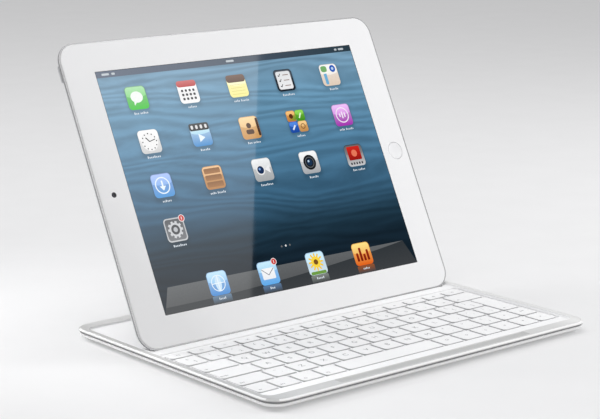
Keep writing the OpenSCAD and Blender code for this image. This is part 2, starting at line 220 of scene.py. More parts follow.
def ribbon():
    """The tracks of a flat cable, in stripes of two colours across X."""
    look = Look("ribbon")
    pitch = 0.8
    wave = look.add("TexWave", {"Vector": look.place, "Scale": 1 / pitch / MM / 3.2, "Distortion": 0.0}, "Fac")
    colour = look.ramp(wave, [(0.45, (0.55, 0.26, 0.05)), (0.55, (0.3, 0.12, 0.02))])
    look.connect(colour, look.moved(look.noise(look.place, 300), 0.4, 0.5), wave, 0.02)


def board():
    """Green board with lighter tracks."""
    look = Look("board_green")
    cells = look.add("TexVoronoi", {"Vector": look.place, "Scale": 350.0}, "Distance", distance="CHEBYCHEV")
    colour = look.ramp(cells, [(0.3, (0.01, 0.09, 0.03)), (0.5, (0.03, 0.2, 0.07))])
    look.connect(colour, look.moved(look.noise(look.place, 500), 0.3, 0.5), cells, 0.03)


def lens():
    """Black glass whose coating turns blue and violet towards grazing angles."""
    look = Look("lens_black", Coat_Weight=1.0, Coat_Roughness=0.02)
    facing = look.add("LayerWeight", {"Blend": 0.4}, "Facing")
    colour = look.ramp(facing, [(0.0, (0.004, 0.005, 0.01)), (1.0, (0.03, 0.02, 0.06))])
    rough = look.moved(look.noise(look.place, 200), 0.05, 0.09)
    look.connect(colour, rough, look.noise(look.place, 800), 0.0004)


def screen_print():
    """Lit print on the screen, with the colour that each point of the mesh carries."""
    look = Look("screen_print", **LIT)
    tint = look.add("Attribute", out="Color", attribute_name="Tint")
    speck = look.noise(look.place, 900)
    colour = look.vector("SCALE", tint, look.moved(speck, 0.96, 1.04))
    look.connect(colour, look.moved(look.noise(look.place, 60), 0.03, 0.05), speck, 0.0001, "Emission Color")


# The picture's colour from the bottom of the screen to the top
WATER = [(0.0, (17, 31, 42)), (0.16, (18, 34, 46)), (0.26, (28, 52, 68)), (0.42, (58, 98, 126)), (0.6, (78, 122, 152)),
         (0.8, (99, 142, 170)), (1.0, (116, 151, 175))]
# The icons' places on the screen, and how far their shadows fall, in millimetres
COLUMNS = [-75, -37.5, 0, 37.5, 75]
ROW_V = [148.5, 121.2, 94.0, 66.8]
DOCK_U = [-56.5, -18.8, 18.8, 56.5]
DOCK_V = 31.0
SHADOW_DROP = 1.2
SHADOW_REACH = 4.5


def icon_shadows(look):
    """How much light is left at a point of the picture beside the grid of icons."""
    calc = look.calc
    axes = look.add("SeparateXYZ", {"Vector": look.place}).node.outputs
    u = calc("MULTIPLY", calc("SUBTRACT", axes["X"], 0.5), screen_w)
    v = calc("ADD", calc("MULTIPLY", axes["Z"], screen_h), mid_v - screen_h / 2 + SHADOW_DROP)
    step_u, step_v = COLUMNS[1] - COLUMNS[0], ROW_V[0] - ROW_V[1]
    out_u = calc("ABSOLUTE", calc("WRAP", u, step_u / 2, -step_u / 2))
    out_v = calc("ABSOLUTE", calc("WRAP", calc("SUBTRACT", v, ROW_V[0]), step_v / 2, -step_v / 2))
    past = [calc("POWER", calc("MAXIMUM", calc("SUBTRACT", out, 5.4), 0), 2) for out in (out_u, out_v)]
    gap = calc("SQRT", calc("ADD", *past))
    full_rows = calc("GREATER_THAN", v, ROW_V[2] - step_v / 2)
    left_end = calc("LESS_THAN", u, COLUMNS[0] + step_u / 2)
    short_row = calc("MULTIPLY", calc("GREATER_THAN", v, ROW_V[3] - step_v / 2), left_end)
    here = calc("MULTIPLY", calc("MAXIMUM", full_rows, short_row), calc("LESS_THAN", gap, SHADOW_REACH))
    dark = look.moved(gap, 0.5, 0, 0, SHADOW_REACH)
    return calc("SUBTRACT", 1, calc("MULTIPLY", here, calc("POWER", dark, 1.5)))


def wallpaper():
    """The lit picture: slow ripples on water, pale at the top and dark at the bottom."""
    look = Look("screen_picture", "Generated", **LIT)
    height = look.add("SeparateXYZ", {"Vector": look.place}, "Z")
    depth = look.ramp(height, [(share, srgb(*colour)) for share, colour in WATER])
    bend = look.add("Mapping", {"Vector": look.place, "Rotation": (0, -0.26, 0), "Scale": (1.0, 1, 4.6)})
    swell = look.add("TexNoise", {"Vector": bend, "Scale": 1.3, "Detail": 1.0}, "Color")
    warped = look.vector("ADD", bend, look.vector("SCALE", swell, 1.25))
    fine = look.add("TexWave", {"Vector": warped, "Scale": 1.7, "Distortion": 5.0, "Detail": 3.0, "Detail Scale": 1.4},
                    "Fac", bands_direction="Z")
    slow = look.add("TexNoise", {"Vector": warped, "Scale": 4.5, "Detail": 5.0, "Roughness": 0.6}, "Fac")
    crest = look.calc("ADD", look.calc("MULTIPLY", fine, 0.35), slow)
    light = look.calc("MULTIPLY", look.moved(crest, 0.83, 1.24, 0.4, 0.95), icon_shadows(look))
    smear = look.noise(look.place, 9, detail=2.0)
    look.connect(look.vector("SCALE", depth, light), look.moved(smear, 0.015, 0.03), smear, 0.0005, "Emission Color")


def grey(level, blue=0.0):
    return (level, level, level + blue)


# Name, colour, roughness, cells of grain in a metre and relief in millimetres
for name, colour, roughness, grain, relief, rest in (
    ("cover_metal", grey(0.95), 0.5, 1500, 0.003, ANODISED),
    # The rim metal carries painted light and shade along the rim
    ("rim_metal", grey(0.71, -0.005), 0.45, 60, 0.002, {**BRUSHED, "across": RIM_PAINTED_LIGHT_AND_SHADE, **ANODISED}),
    # A darker copy of the rim metal for the scoop and the fine groove: painted shade
    ("rim_painted_shade", grey(0.57, -0.005), 0.5, 60, 0.002, {**BRUSHED, **ANODISED}),
    # The polished chamfer, painted lighter than the band: a real polished edge with a painted highlight
    ("rim_polish_painted_highlight", grey(0.86), 0.5, 300, 0.0006, {"Specular_IOR_Level": 0.2}),
    ("cover_white", grey(0.9, 0.005), 0.45, 2500, 0.002, {"spread": 0.008}),
    # The keys are painted darker towards the left: painted shade
    ("key_white", grey(0.885, 0.005), 0.45, 3000, 0.003, {"spread": 0.01, "across": KEY_PAINTED_SHADE}),
    # A darker copy of the key white for the keys' side walls: painted shade
    ("key_skirt_painted_shade", grey(0.5, 0.01), 0.6, 3000, 0.003, {}),
    ("key_web", grey(0.9, 0.005), 0.6, 2500, 0.003, {}),
    ("key_ink", grey(0.33, 0.01), 0.6, 4000, 0.001, {"spread": 0.08}),
    ("grey_rubber", grey(0.2, 0.005), 0.8, 1800, 0.02, {"spread": 0.06}),
    # Dark grey for the strip in the seam groove: painted shade
    ("seam_shadow_grey", grey(0.27, 0.005), 0.8, 1800, 0.02, {"spread": 0.06}),
    ("silicone", grey(0.7), 0.55, 1200, 0.01, {"spread": 0.05}),
    ("magnet_plate", grey(0.5), 0.3, 700, 0.004, SATIN),
    ("steel", (0.6, 0.61, 0.63), 0.3, 50, 0.004, {**BRUSHED, **SATIN}),
    ("film", (0.78, 0.78, 0.72), 0.5, 900, 0.004, {"spread": 0.04}),
    ("cell_foil", grey(0.09, 0.01), 0.4, 240, 0.03, {"spread": 0.15}),
    ("light_pipe", (0.55, 0.85, 0.6), 0.2, 900, 0.001, {}),
    ("tablet_metal", (0.76, 0.77, 0.78), 0.36, 2200, 0.004, SATIN),
    ("edge_polish", grey(0.9, 0.01), 0.16, 500, 0.0006, SATIN),
    # The glass is painted darker towards its lower left: painted shade
    ("white_glass", grey(0.87, 0.005), 0.4, 120, 0.0004, {"spread": 0.006, "across": GLASS_PAINTED_SHADE, "lean": 0.6}),
    ("gasket_grey", grey(0.6, 0.005), 0.6, 1500, 0.004, {"spread": 0.04}),
    # A dark copy of the tablet metal for its side walls: painted shade
    ("edge_painted_shade", grey(0.2, 0.005), 0.45, 2200, 0.003, ANODISED),
    ("gasket_black", grey(0.05, 0.005), 0.55, 1500, 0.004, {"spread": 0.1}),
    ("button_white", grey(0.84, 0.01), 0.25, 200, 0.0008, {"spread": 0.01}),
    ("button_metal", (0.66, 0.67, 0.68), 0.3, 1500, 0.003, SATIN),
    ("socket_black", grey(0.012, 0.002), 0.5, 900, 0.004, {"spread": 0.2}),
    ("floor_pale", grey(0.57, 0.005), 0.9, 30, 0.0, {"spread": 0.01, "Specular_IOR_Level": 0.1,
                                                     "Emission_Color": (1, 1, 1, 1), "Emission_Strength": 0.2}),
):
    finish(name, colour, roughness, grain, relief, **rest)
for special in (ribbon, board, lens, screen_print):
    special()


# ---- Mesh building ----


def outline(w, d, r, at=(0, 0), steps=8):
    """A rounded rectangle, counter-clockwise, as (x, y) points."""
    points = []
    for i, (sx, sy) in enumerate(((1, 1), (-1, 1), (-1, -1), (1, -1))):
        centre = (at[0] + sx * (w / 2 - r), at[1] + sy * (d / 2 - r))
        points += arc(centre, r, 90 * i, 90 * i + 90, steps)
    return points


def circle(r, at=(0, 0), count=32):
    """A circle, counter-clockwise, as (x, y) points."""
    return arc(at, r, 0, 360, count)[:-1]


def arc(centre, r, start, end, steps=4):
    """Points on an arc from one angle to another, in degrees."""
    angles = [math.radians(start + (end - start) * k / steps) for k in range(steps + 1)]
    return [(centre[0] + r * math.cos(a), centre[1] + r * math.sin(a)) for a in angles]


def level(points, z):
    """Flat points lifted to a height."""
    return [(x, y, z) for x, y in points]


def layers(w, d, r, profile, at=(0, 0), steps=8):
    """Rounded rectangles, one for each (inset, height) of a profile."""
    return [level(outline(w - 2 * i, d - 2 * i, max(r - i, 0.05), at, steps), z) for i, z in profile]


def discs(profile, at=(0, 0), count=32):
    """Circles, one for each (radius, height) of a profile."""
    return [level(circle(r, at, count), z) for r, z in profile]


def joined(loops):
    return [point for loop in loops for point in loop]


def skin(loops, closed=False, caps=True):
    """Faces over a run of equal loops, with caps, or round to the first loop again."""
    n, last = len(loops[0]), len(loops) - 1
    bands = [(a, (a + 1) % len(loops)) for a in range(last + closed)]
    faces = [(a * n + i, a * n + (i + 1) % n, b * n + (i + 1) % n, b * n + i) for a, b in bands for i in range(n)]
    if caps and not closed:
        faces += [tuple(range(n))[::-1], tuple(range(last * n, last * n + n))]
    return faces


class Shape:
    """Faces collected in millimetres before they become one object."""

    def __init__(self):
        self.points, self.faces, self.paints, self.tints = [], [], [], []

    def add(self, points, faces, paint=0, tint=None):
        start = len(self.points)
        self.points += [tuple(p) for p in points]
        self.faces += [[start + i for i in face] for face in faces]
        self.paints += [paint] * len(faces)
        self.tints += [tint(p) if callable(tint) else tint or (1, 1, 1) for p in points]

    def loft(self, loops, closed=False, tint=None):
        self.add(joined(loops), skin(loops, closed), tint=tint)
        return self

    def prism(self, points, z0, z1, tint=None):
        """A flat outline given thickness."""
        self.loft([level(points, z0), level(points, z1)], tint=tint)

    def frame(self, outer, inner, z0, z1, tint=None):
        """A flat ring between two outlines given thickness."""
        self.loft([level(outer, z0), level(outer, z1), level(inner, z1), level(inner, z0)], True, tint)
        return self

    def block(self, x0, x1, y0, y1, z0, z1):
        """A box with plain edges."""
        self.prism([(x0, y0), (x1, y0), (x1, y1), (x0, y1)], z0, z1)

    def bore(self, r, start, end, count=32):
        """A round bar from one point to another."""
        start, end = Vector(start), Vector(end)
        turn = (end - start).to_track_quat("Z", "Y").to_matrix()
        self.loft([[tuple(at + turn @ Vector((x, y, 0))) for x, y in circle(r, count=count)] for at in (start, end)])

    def panel(self, outer, holes, z0, z1, outer_edge, hole_edge):
        """A plate with holes. Each edge is a function of inset, and its top is rounded or follows a profile."""
        tops, bottoms = [], []
        for make_loop, edge, sign in [(outer, outer_edge, 1)] + [(h, hole_edge, -1) for h in holes]:
            if isinstance(edge, list):
                rounding = edge
            else:
                turns = [math.radians(22.5 * k) for k in range(5)] if edge else []
                rounding = [(sign * edge * (1 - math.cos(a)), z1 - edge + edge * math.sin(a)) for a in turns]
                rounding = rounding or [(0, z1)]
            loops = [level(make_loop(0), z0)] + [level(make_loop(i), z) for i, z in rounding]
            start, n = len(self.points), len(loops[0])
            self.add(joined(loops), skin(loops, caps=False))
            bottoms.append(range(start, start + n))
            tops.append(range(len(self.points) - n, len(self.points)))
        self.fill(tops)
        self.fill(bottoms)

    def fill(self, rims):
        """Flat faces between an outer loop of points and the holes in it."""
        mesh = bmesh.new()
        made = {}
        for rim in rims:
            ring = [mesh.verts.new(self.points[i]) for i in rim]
            made.update(zip(ring, rim))
            for a, b in zip(ring, ring[1:] + ring[:1]):
                mesh.edges.new((a, b))
        bmesh.ops.triangle_fill(mesh, use_beauty=True, edges=mesh.edges[:])
        for face in mesh.faces:
            self.faces.append([made[v] for v in face.verts])
            self.paints.append(0)
        mesh.free()


def placed(name, data):
    """A new object in the scene."""
    made = bpy.data.objects.new(name, data)
    bpy.context.scene.collection.objects.link(made)
    return made


def evaluated(made):
    """A new mesh of an object with its modifiers applied."""
    graph = bpy.context.evaluated_depsgraph_get()
    graph.update()
    return bpy.data.meshes.new_from_object(made.evaluated_get(graph))


def reworked(mesh, dist, work_on):
    """Joins a mesh's doubled points and then changes it."""
    work = bmesh.new()
    work.from_mesh(mesh)
    bmesh.ops.remove_doubles(work, verts=work.verts, dist=dist)
    work_on(work)
    work.to_mesh(mesh)
    work.free()


def to_object(name, shape, axes):
    """A mesh object of a shape, with its faces turned outwards."""
    mesh = bpy.data.meshes.new(name)
    mesh.from_pydata([axes @ Vector(p) for p in shape.points], [], shape.faces)
    mesh.polygons.foreach_set("material_index", shape.paints)
    layer = mesh.color_attributes.new("Tint", "FLOAT_COLOR", "POINT")
    for i, tint in enumerate(shape.tints):
        layer.data[i].color = (*tint, 1)
    reworked(mesh, 1e-7, lambda work: bmesh.ops.recalc_face_normals(work, faces=work.faces))
    return placed(name, mesh)


def cleaned(work):
    bmesh.ops.dissolve_degenerate(work, edges=work.edges, dist=1e-6)
    bmesh.ops.dissolve_limit(work, angle_limit=math.radians(0.4), verts=work.verts, edges=work.edges)


def cut(made, tool):
    """Takes the tool's solids out of an object's mesh."""
    change = made.modifiers.new("cut", "BOOLEAN")
    change.object, change.operation, change.solver = tool, "DIFFERENCE", "EXACT"
    mesh = evaluated(made)
    reworked(mesh, 2e-6, cleaned)
    made.modifiers.clear()
    made.data = mesh
    bpy.data.objects.remove(tool)


def piece(name, shape, body, *finishes, slot=None, replaced=None, tool=None, soften=0.0, sharp=34):
    """Makes one visible piece of the object from a shape. Its slot argument is not used."""
    axes = TABLET if body in ON_TABLET else COVER
    made = to_object(name, shape, axes)
    if tool:
        cut(made, to_object(name + "_tool", tool, axes))
    for look in finishes:
        made.data.materials.append(LOOKS[look])
    if soften:
        bevel = made.modifiers.new("soften", "BEVEL")
        bevel.width, bevel.segments, bevel.limit_method = soften * MM, 3, "ANGLE"
        bevel.angle_limit = math.radians(40)
    for face in made.data.polygons:
        face.use_smooth = True
    made.data.set_sharp_from_angle(angle=math.radians(sharp))
    even = made.modifiers.new("even", "WEIGHTED_NORMAL")
    even.keep_sharp = True
    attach(made, body)
    slot or finishes[0]
    if replaced:
        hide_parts(replaced)
    return made


# ---- Cover ----

cover_w, cover_d = rim_high.x - rim_low.x, rim_high.y - rim_low.y
seam_z, rim_top = rim_low.z, rim_high.z
foot_h = plain("bottom_shell")[0].z
deck_low, deck_high = plain("deck_panel")
deck_top = deck_high.z
deck_side, deck_front = deck_high.x + 0.7, 0.7 - deck_low.y
cover_r = 11.5
chamfer = 1.36
floor_z = foot_h + 0.65
clip_low, clip_high = plain("hinge_bracket")
notch_half = clip_high.x + 0.2
notch_y = clip_low.y


def cover_tool(edge_too=True):
    """The notch for the hinge, and openings in the right edge for the socket, button, switch and status light."""
    tool = Shape()
    tool.block(-notch_half, notch_half, notch_y, cover_d, -1, rim_top + 5)
    if not edge_too:
        return tool
    slot_x = cover_w / 2 - 8
    for node, before, after in (("usb_socket", 0.2, 0.2), ("power_switch", 0.3, 2.9)):
        low, high = plain(node)
        tool.block(slot_x, cover_w, low.y - before, high.y + after, low.z - 0.2, high.z + 0.2)
    for node, r in (("connect_button", 1.0), ("status_light", 0.6)):
        at = middle(*plain(node))[1:]
        tool.bore(r, (slot_x, *at), (cover_w, *at))
    return tool


def cover_layers(profile):
    return layers(cover_w, cover_d, cover_r, profile, steps=12)


def bottom_shell():
    """The lower shell: a shallow tray with its edge curved under."""
    turns = [math.radians(a) for a in range(0, 85, 6)]
    under = [(7.5 * (1 - math.sin(a)), foot_h + 3.4 * (1 - math.cos(a))) for a in turns]
    lip = [(0, seam_z - 1.05), (0.05, seam_z - 0.9), (0.25, seam_z - 0.76), (0.6, seam_z - 0.71)]
    lip += [(1.2, seam_z - 0.7), (1.2, seam_z - 0.01)]
    inside = [(4.9, seam_z), (5.0, seam_z - 0.1), (5.0, floor_z + 0.6), (5.2, floor_z + 0.15), (5.6, floor_z)]
    shape = Shape().loft(cover_layers([(30, foot_h)] + under + lip + inside + [(30, floor_z)]))
    piece("lower_shell", shape, "cover", "cover_metal", replaced="bottom_shell", tool=cover_tool())


def seam_shadow_strip():
    """A dark strip at the bottom of the groove between the shell and the rim: painted shade that darkens the seam."""
    profile = [(0.75, seam_z - 0.69), (0.62, seam_z - 0.6), (0.62, seam_z + 0.18), (0.75, seam_z + 0.29)]
    profile += [(1.19, seam_z + 0.29), (1.19, seam_z - 0.69)]
    shape = Shape().loft(cover_layers(profile), closed=True)
    piece("seam_shadow_strip", shape, "cover", "seam_shadow_grey", slot="grey_rubber", tool=cover_tool())


def rim():
    """The rim: a flat band with a polished chamfer and a fine groove over the seam."""
    bevel_z, small = rim_top - 0.66, 0.1
    outer = [(1.2, seam_z), (1.2, seam_z + 0.3), (0.1, seam_z + 0.32), (0, seam_z + 0.4), (0, bevel_z - small)]
    outer += [(small * 0.4, bevel_z), (chamfer - small, rim_top - small * 0.5), (chamfer, rim_top - small * 0.5)]
    outer += [(chamfer + 0.02, rim_top - 0.14), (chamfer + 0.22, rim_top - 0.14), (chamfer + 0.25, rim_top)]
    loops = cover_layers(outer)
    side, front = cover_w / 2 - deck_side - 0.1, cover_d / 2 - deck_front - 0.1
    for grow, z in ((0.25, rim_top), (0.08, rim_top - 0.08), (0, rim_top - 0.25), (0, seam_z)):
        w, d = cover_w - 2 * (side - grow), cover_d - 2 * (front - grow)
        loops.append(level(outline(w, d, 5.5 + grow, steps=12), z))
    # A shallow scoop for the thumb in the front band, with sloping ends and sides
    scoop_at, scoop_half, scoop_depth = (0, -cover_d / 2 + 5.9), 73, 0.3
    tool = cover_tool(edge_too=False)
    tool.loft([level(outline(2 * scoop_half - 5, 5.6, 0.8, scoop_at), rim_top - scoop_depth),
               level(outline(2 * scoop_half + 1, 6.9, 1.2, scoop_at), rim_top + 0.1)])
    made = piece("rim", Shape().loft(loops, closed=True), "cover", "rim_metal", "rim_polish_painted_highlight", "rim_painted_shade",
                 replaced="rim_frame", tool=tool, sharp=22)
    for face in made.data.polygons:
        x, y, z = (c / MM for c in face.center)
        slope = abs(face.normal.z)
        # The outer chamfer takes the lighter finish: polished edge plus painted highlight
        on_edge = bevel_z - 0.05 < z < rim_top - 0.02 and 0.3 < slope < 0.97
        outside = abs(x) > deck_side + 3 or abs(y - cover_origin.y) > deck_front + 7.5
        # The scoop floor and the fine groove take the darker copy of the rim metal: painted shade
        in_groove = abs(z - rim_top + 0.14) < 0.01 and slope > 0.95
        painted_shade_face = in_groove or rim_top - scoop_depth - 0.05 < z < rim_top - 0.02 and slope > 0.95
        face.material_index = 1 if on_edge and outside else 2 if painted_shade_face else 0


# The key bed and the stand groove, from the pieces that lie in them
bed_low, bed_high = plain("membrane_sheet")
bed_x, bed_front, bed_rear = bed_high.x + 1, bed_low.y - 0.2, bed_high.y + 1
liner_low, liner_high = plain("groove_liner")
groove_half, groove_front, groove_rear = liner_high.x + 0.2, liner_low.y - 0.1, liner_high.y + 0.1
groove_depth = groove_rear - groove_front
groove_at = (0, (groove_front + groove_rear) / 2)


def deck():
    """The white deck round the keys, and the channel that the tablet stands in."""

    def edge(i):
        return outline(2 * (deck_side - i), 2 * (deck_front - i), 5.4 - i)

    def bed(i):
        return outline(2 * (bed_x - i), bed_rear - bed_front - 2 * i, 1.2 - i, (0, (bed_front + bed_rear) / 2), 5)

    def groove(i):
        return outline(2 * (groove_half - i), groove_depth - 2 * i, 0.9 - i, groove_at, 5)

    lip = [(0, rim_top - 0.2), (0.05, rim_top - 0.07), (0.17, rim_top - 0.03), (0.32, rim_top - 0.2)]
    lip += [(0.55, deck_top + 0.4), (0.85, deck_top + 0.12), (1.25, deck_top)]
    shape = Shape()
    shape.panel(edge, [bed, groove], deck_top - 1.2, deck_top, outer_edge=lip, hole_edge=0.22)
    piece("deck", shape, "cover", "cover_white", replaced="deck_panel")
    profile = [(-1.4, deck_low.z), (-1.4, deck_top - 1.25), (0.01, deck_top - 1.25)]
    profile += [(0.01, liner_low.z + 0.3), (0.2, liner_low.z)]
    trough = Shape().loft(layers(2 * groove_half, groove_depth, 0.9, profile, groove_at, 5))
    piece("groove_channel", trough, "cover", "cover_white")


def feet():
    """Low rubber pads with a rounded edge and a slight dish underneath."""
    shape = Shape()
    low, high = plain("rubber_feet")
    r = 4.5
    profile = [(r - 1.6, low.z + 0.12), (r - 0.9, low.z), (r - 0.35, low.z), (r - 0.1, low.z + 0.12)]
    profile += [(r, low.z + 0.4), (r, high.z)]
    for sx in (-1, 1):
        for sy in (-1, 1):
            shape.loft(discs(profile, (sx * (high.x - r), sy * (high.y - r)), 40))
    piece("feet", shape, "cover", "grey_rubber", replaced="rubber_feet")


def hinge_clip():
    """The clip's blade and barrel, with pockets for its magnets."""
    low, high = plain("hinge_clip")
    axis_y, axis_z = middle(*plain("hinge_pin"))[1:]
    barrel, half_t, tip = axis_y - low.y, 1.6, high.y - axis_y
    join = math.degrees(math.asin(half_t / barrel))
    section = arc((0, 0), barrel, join, 360 - join, 28)
    section += arc((tip - 1.2, -half_t + 1.2), 1.2, -90, 0, 5) + arc((tip - 1.2, half_t - 1.2), 1.2, 0, 90, 5)
    loops = []
    for x, shrink in ((low.x, 0.15), (low.x + 0.15, 0), (high.x - 0.15, 0), (high.x, 0.15)):
        share = 1 - shrink / barrel
        loops.append([(x, axis_y + y * share, axis_z + z * share) for y, z in section])
    tool = Shape()
    tool.bore(0.95, (low.x - 1, axis_y, axis_z), (high.x + 1, axis_y, axis_z))
    for x in (-38, -12, 14):
        tool.block(x, x + 24, axis_y + 2.5, high.y - 1, axis_z - 0.6, axis_z + 4)
    piece("clip_blade", Shape().loft(loops), "clip", "rim_metal", replaced="hinge_clip", tool=tool)


def edge_controls():
    """The switch with its grip ribs and the domed connect button, on the right edge."""
    low, high = plain("power_switch")
    mid_z = (low.z + high.z) / 2
    shape = Shape()
    slide_x = high.x - 2.05
    shape.block(low.x, slide_x, low.y, high.y, low.z, high.z)
    lever_y = low.y + 0.9
    shape.block(slide_x - 0.5, high.x - 0.25, lever_y, lever_y + 3.0, low.z + 0.1, high.z - 0.1)
    for k in range(5):
        y = lever_y + 0.3 + 0.55 * k
        shape.block(high.x - 0.3, high.x, y, y + 0.25, mid_z - 0.5, mid_z + 0.5)
    piece("switch_lever", shape, "power_slider", "button_metal", replaced="power_switch", soften=0.06)
    low, high = plain("connect_button")
    r = (high.y - low.y) / 2
    at = middle(low, high)[1:]
    profile = [(r * 0.2, 0), (r * 0.6, -0.03), (r * 0.85, -0.1), (r, -0.28), (r, low.x - high.x)]
    button = Shape().loft([[(high.x + x, y, z) for y, z in circle(rr, at)] for rr, x in profile])
    piece("connect_dome", button, "connect", "button_metal", replaced="connect_button")


# ---- Keys ----

DISH = 0.1
KEY_R = 2.1
SHADED_SKIRT_PAINT, INK_PAINT = 2, 1


def islands(node):
    """The boxes of a node's separate solids in the cover's axes, left to right."""
    work = bmesh.new()
    work.from_mesh(nodes[node].data)
    bmesh.ops.remove_doubles(work, verts=work.verts, dist=1e-6)
    seen, boxes = set(), []
    for first in work.verts:
        group, todo = [], [first]
        while todo:
            vertex = todo.pop()
            if vertex not in seen:
                seen.add(vertex)
                group.append(vertex.co / MM - cover_origin)
                todo += [edge.other_vert(vertex) for edge in vertex.link_edges]
        if group:
            boxes.append(corners(group))
    work.free()
    return sorted(boxes, key=lambda box: box[0].x)


def keycap(shape, low, high):
    """One keycap: straight skirt, rounded edge and a slightly dished top. Returns the top as a function."""
    w, d = high.x - low.x, high.y - low.y
    cx, cy = centre = middle(low, high)[:2]
    edge = 0.42

    def top(x, y):
        ax, ay = abs(x - cx) - w / 2 + KEY_R, abs(y - cy) - d / 2 + KEY_R
        inset = KEY_R - math.hypot(max(ax, 0), max(ay, 0)) - min(max(ax, ay), 0)
        share = min(max(2 * inset / min(w, d), 0), 1)
        return high.z - DISH * (1 - (1 - share) ** 2)

    def ring(inset):
        return outline(w - 2 * inset, d - 2 * inset, max(KEY_R - inset, 0.05), centre, 6)

    loops = layers(w, d, KEY_R, [(0.12, low.z), (0, low.z + 0.12), (0, high.z - edge)], centre, 6)
    skirt = len(joined(loops))
    for a in (30, 60, 90):
        inset = edge * (1 - math.cos(math.radians(a)))
        fall = edge * (1 - math.sin(math.radians(a)))
        loops.append([(x, y, top(x, y) - fall) for x, y in ring(inset)])
    for share in (0.25, 0.5, 0.75, 0.95):
        inset = edge + share * (min(w, d) / 2 - edge)
        z = top(cx, cy + d / 2 - inset) if d < w else top(cx + w / 2 - inset, cy)
        loops.append(level(ring(inset), z))
    start = len(shape.paints)
    shape.loft(loops)
    # The skirt and the first step of the rounded edge take the darker copy of the key white: painted shade
    shape.paints[start:start + skirt] = [SHADED_SKIRT_PAINT] * skirt
    return top, centre


letter_cache = {}


def letter(text):
    """Points and faces of a character one unit high, centred, with a little thickness."""
    if text not in letter_cache:
        curve = bpy.data.curves.new("letter", "FONT")
        curve.body, curve.align_x, curve.resolution_u, curve.extrude = text, "CENTER", 3, 0.004
        carrier = placed("letter", curve)
        mesh = evaluated(carrier)
        points = [v.co.copy() for v in mesh.vertices]
        letter_cache[text] = (points, [tuple(face.vertices) for face in mesh.polygons])
        bpy.data.objects.remove(carrier)
        bpy.data.meshes.remove(mesh)
    return letter_cache[text]


class Ink:
    """Marks printed on a keycap, which follow its dished top."""

    def __init__(self, shape, top, centre, size):
        self.shape, self.top, self.centre, self.size = shape, top, centre, size

    def put(self, points, faces):
        places = [(self.centre[0] + x, self.centre[1] + y, z) for x, y, z in points]
        self.shape.add([(x, y, self.top(x, y) + 0.012 + z) for x, y, z in places], faces, INK_PAINT)

    def flat(self, points):
        """A filled outline."""
        loops = [level(points, z) for z in (-0.01, 0.01)]
        self.put(joined(loops), skin(loops))

    def bar(self, x, y, w, h):
        self.flat([(x - w / 2, y - h / 2), (x + w / 2, y - h / 2), (x + w / 2, y + h / 2), (x - w / 2, y + h / 2)])

    def dot(self, x, y, r):
        self.flat(circle(r, (x, y), 14))

    def ring(self, x, y, r, line=0.3):
        outer, inner = circle(r, (x, y), 16), circle(r - line, (x, y), 16)
        loops = [level(outer, -0.01), level(outer, 0.01), level(inner, 0.01), level(inner, -0.01)]
        self.put(joined(loops), skin(loops, closed=True))

    def box(self, x, y, w, h, line=0.28):
        for sx in (-1, 1):
            self.bar(x + sx * (w - line) / 2, y, line, h)
        for sy in (-1, 1):
            self.bar(x, y + sy * (h - line) / 2, w, line)

    def arrow(self, x, y, size, turn):
        """A pointer that aims along an angle in degrees."""
        c, s = size * math.cos(math.radians(turn)), size * math.sin(math.radians(turn))
        self.flat([(x + px * c - py * s, y + px * s + py * c) for px, py in ((0.5, 0), (-0.35, 0.5), (-0.35, -0.5))])

    def rays(self, x, y, r, count=8):
        for k in range(count):
            a = 2 * math.pi * k / count
            self.dot(x + r * math.cos(a), y + r * math.sin(a), 0.16)

    def text(self, character, x, y, size):
        points, faces = letter(character)
        low, high = min(p.y for p in points), max(p.y for p in points)
        mid = (low + high) / 2 if character not in "_-=.,'`^" else 0.35
        self.put([(x + size * p.x, y + size * (p.y - mid), size * p.z) for p in points], faces)


# Small generic pictures for the function keys, left to right: the marks in each and where they lie
FUNCTION_MARKS = [
    [("box", 0, 0, 2.2, 1.8)],
    [("ring", -0.3, 0.3, 0.95), ("bar", 0.75, -0.75, 0.7, 0.3)],
    [("dot", 0, 0, 0.35), ("rays", 0, 0, 1.1)],
    [("dot", 0, 0, 0.55), ("rays", 0, 0, 1.1)],
    [("box", 0, 0, 2.6, 1.8), ("dot", 0.2, -0.1, 0.35)],
    [("box", 0, 0, 2.8, 1.6)] + [("dot", x, 0, 0.17) for x in (-0.7, 0, 0.7)],
    [("arrow", 0.55, 0, 1.3, 180), ("arrow", -0.5, 0, 1.3, 180)],
    [("arrow", -0.5, 0, 1.4, 0), ("bar", 0.5, 0, 0.3, 1.4), ("bar", 1.1, 0, 0.3, 1.4)],
    [("arrow", -0.55, 0, 1.3, 0), ("arrow", 0.5, 0, 1.3, 0)],
    *[[("arrow", -0.6, 0, 1.5, 180)] + [("bar", 0.5 + 0.6 * k, 0, 0.28, 0.8 + 0.7 * k) for k in range(waves)]
      for waves in range(3)],
    [("box", 0, -0.3, 1.8, 1.3), ("ring", 0, 0.55, 0.6)],
    [("ring", 0, 0, 0.9), ("bar", 0, 0.7, 0.3, 0.9)],
]


def function_marks(ink, i):
    for mark, *numbers in FUNCTION_MARKS[min(i, len(FUNCTION_MARKS) - 1)]:
        getattr(ink, mark)(*numbers)


def characters(row, upper):
    """A printer for keys with one character each, or two where there is an upper one."""

    def put(ink, i):
        if upper[i] == " ":
            ink.text(row[i], 0, 0, 4.8)
        else:
            ink.text(upper[i], -1.2, 2.7, 3.4)
            ink.text(row[i], 1.2, -2.4, 3.8)

    return put


def corner(mark, *numbers):
    """A printer that draws near the key's lower left corner."""
    return lambda ink, i: mark(ink, 3.6 - ink.size[0] / 2, 3.4 - ink.size[1] / 2, *numbers)


def centred(mark, *numbers):
    """A printer that draws in the middle of the key."""
    return lambda ink, i: mark(ink, 0, 0, *numbers)


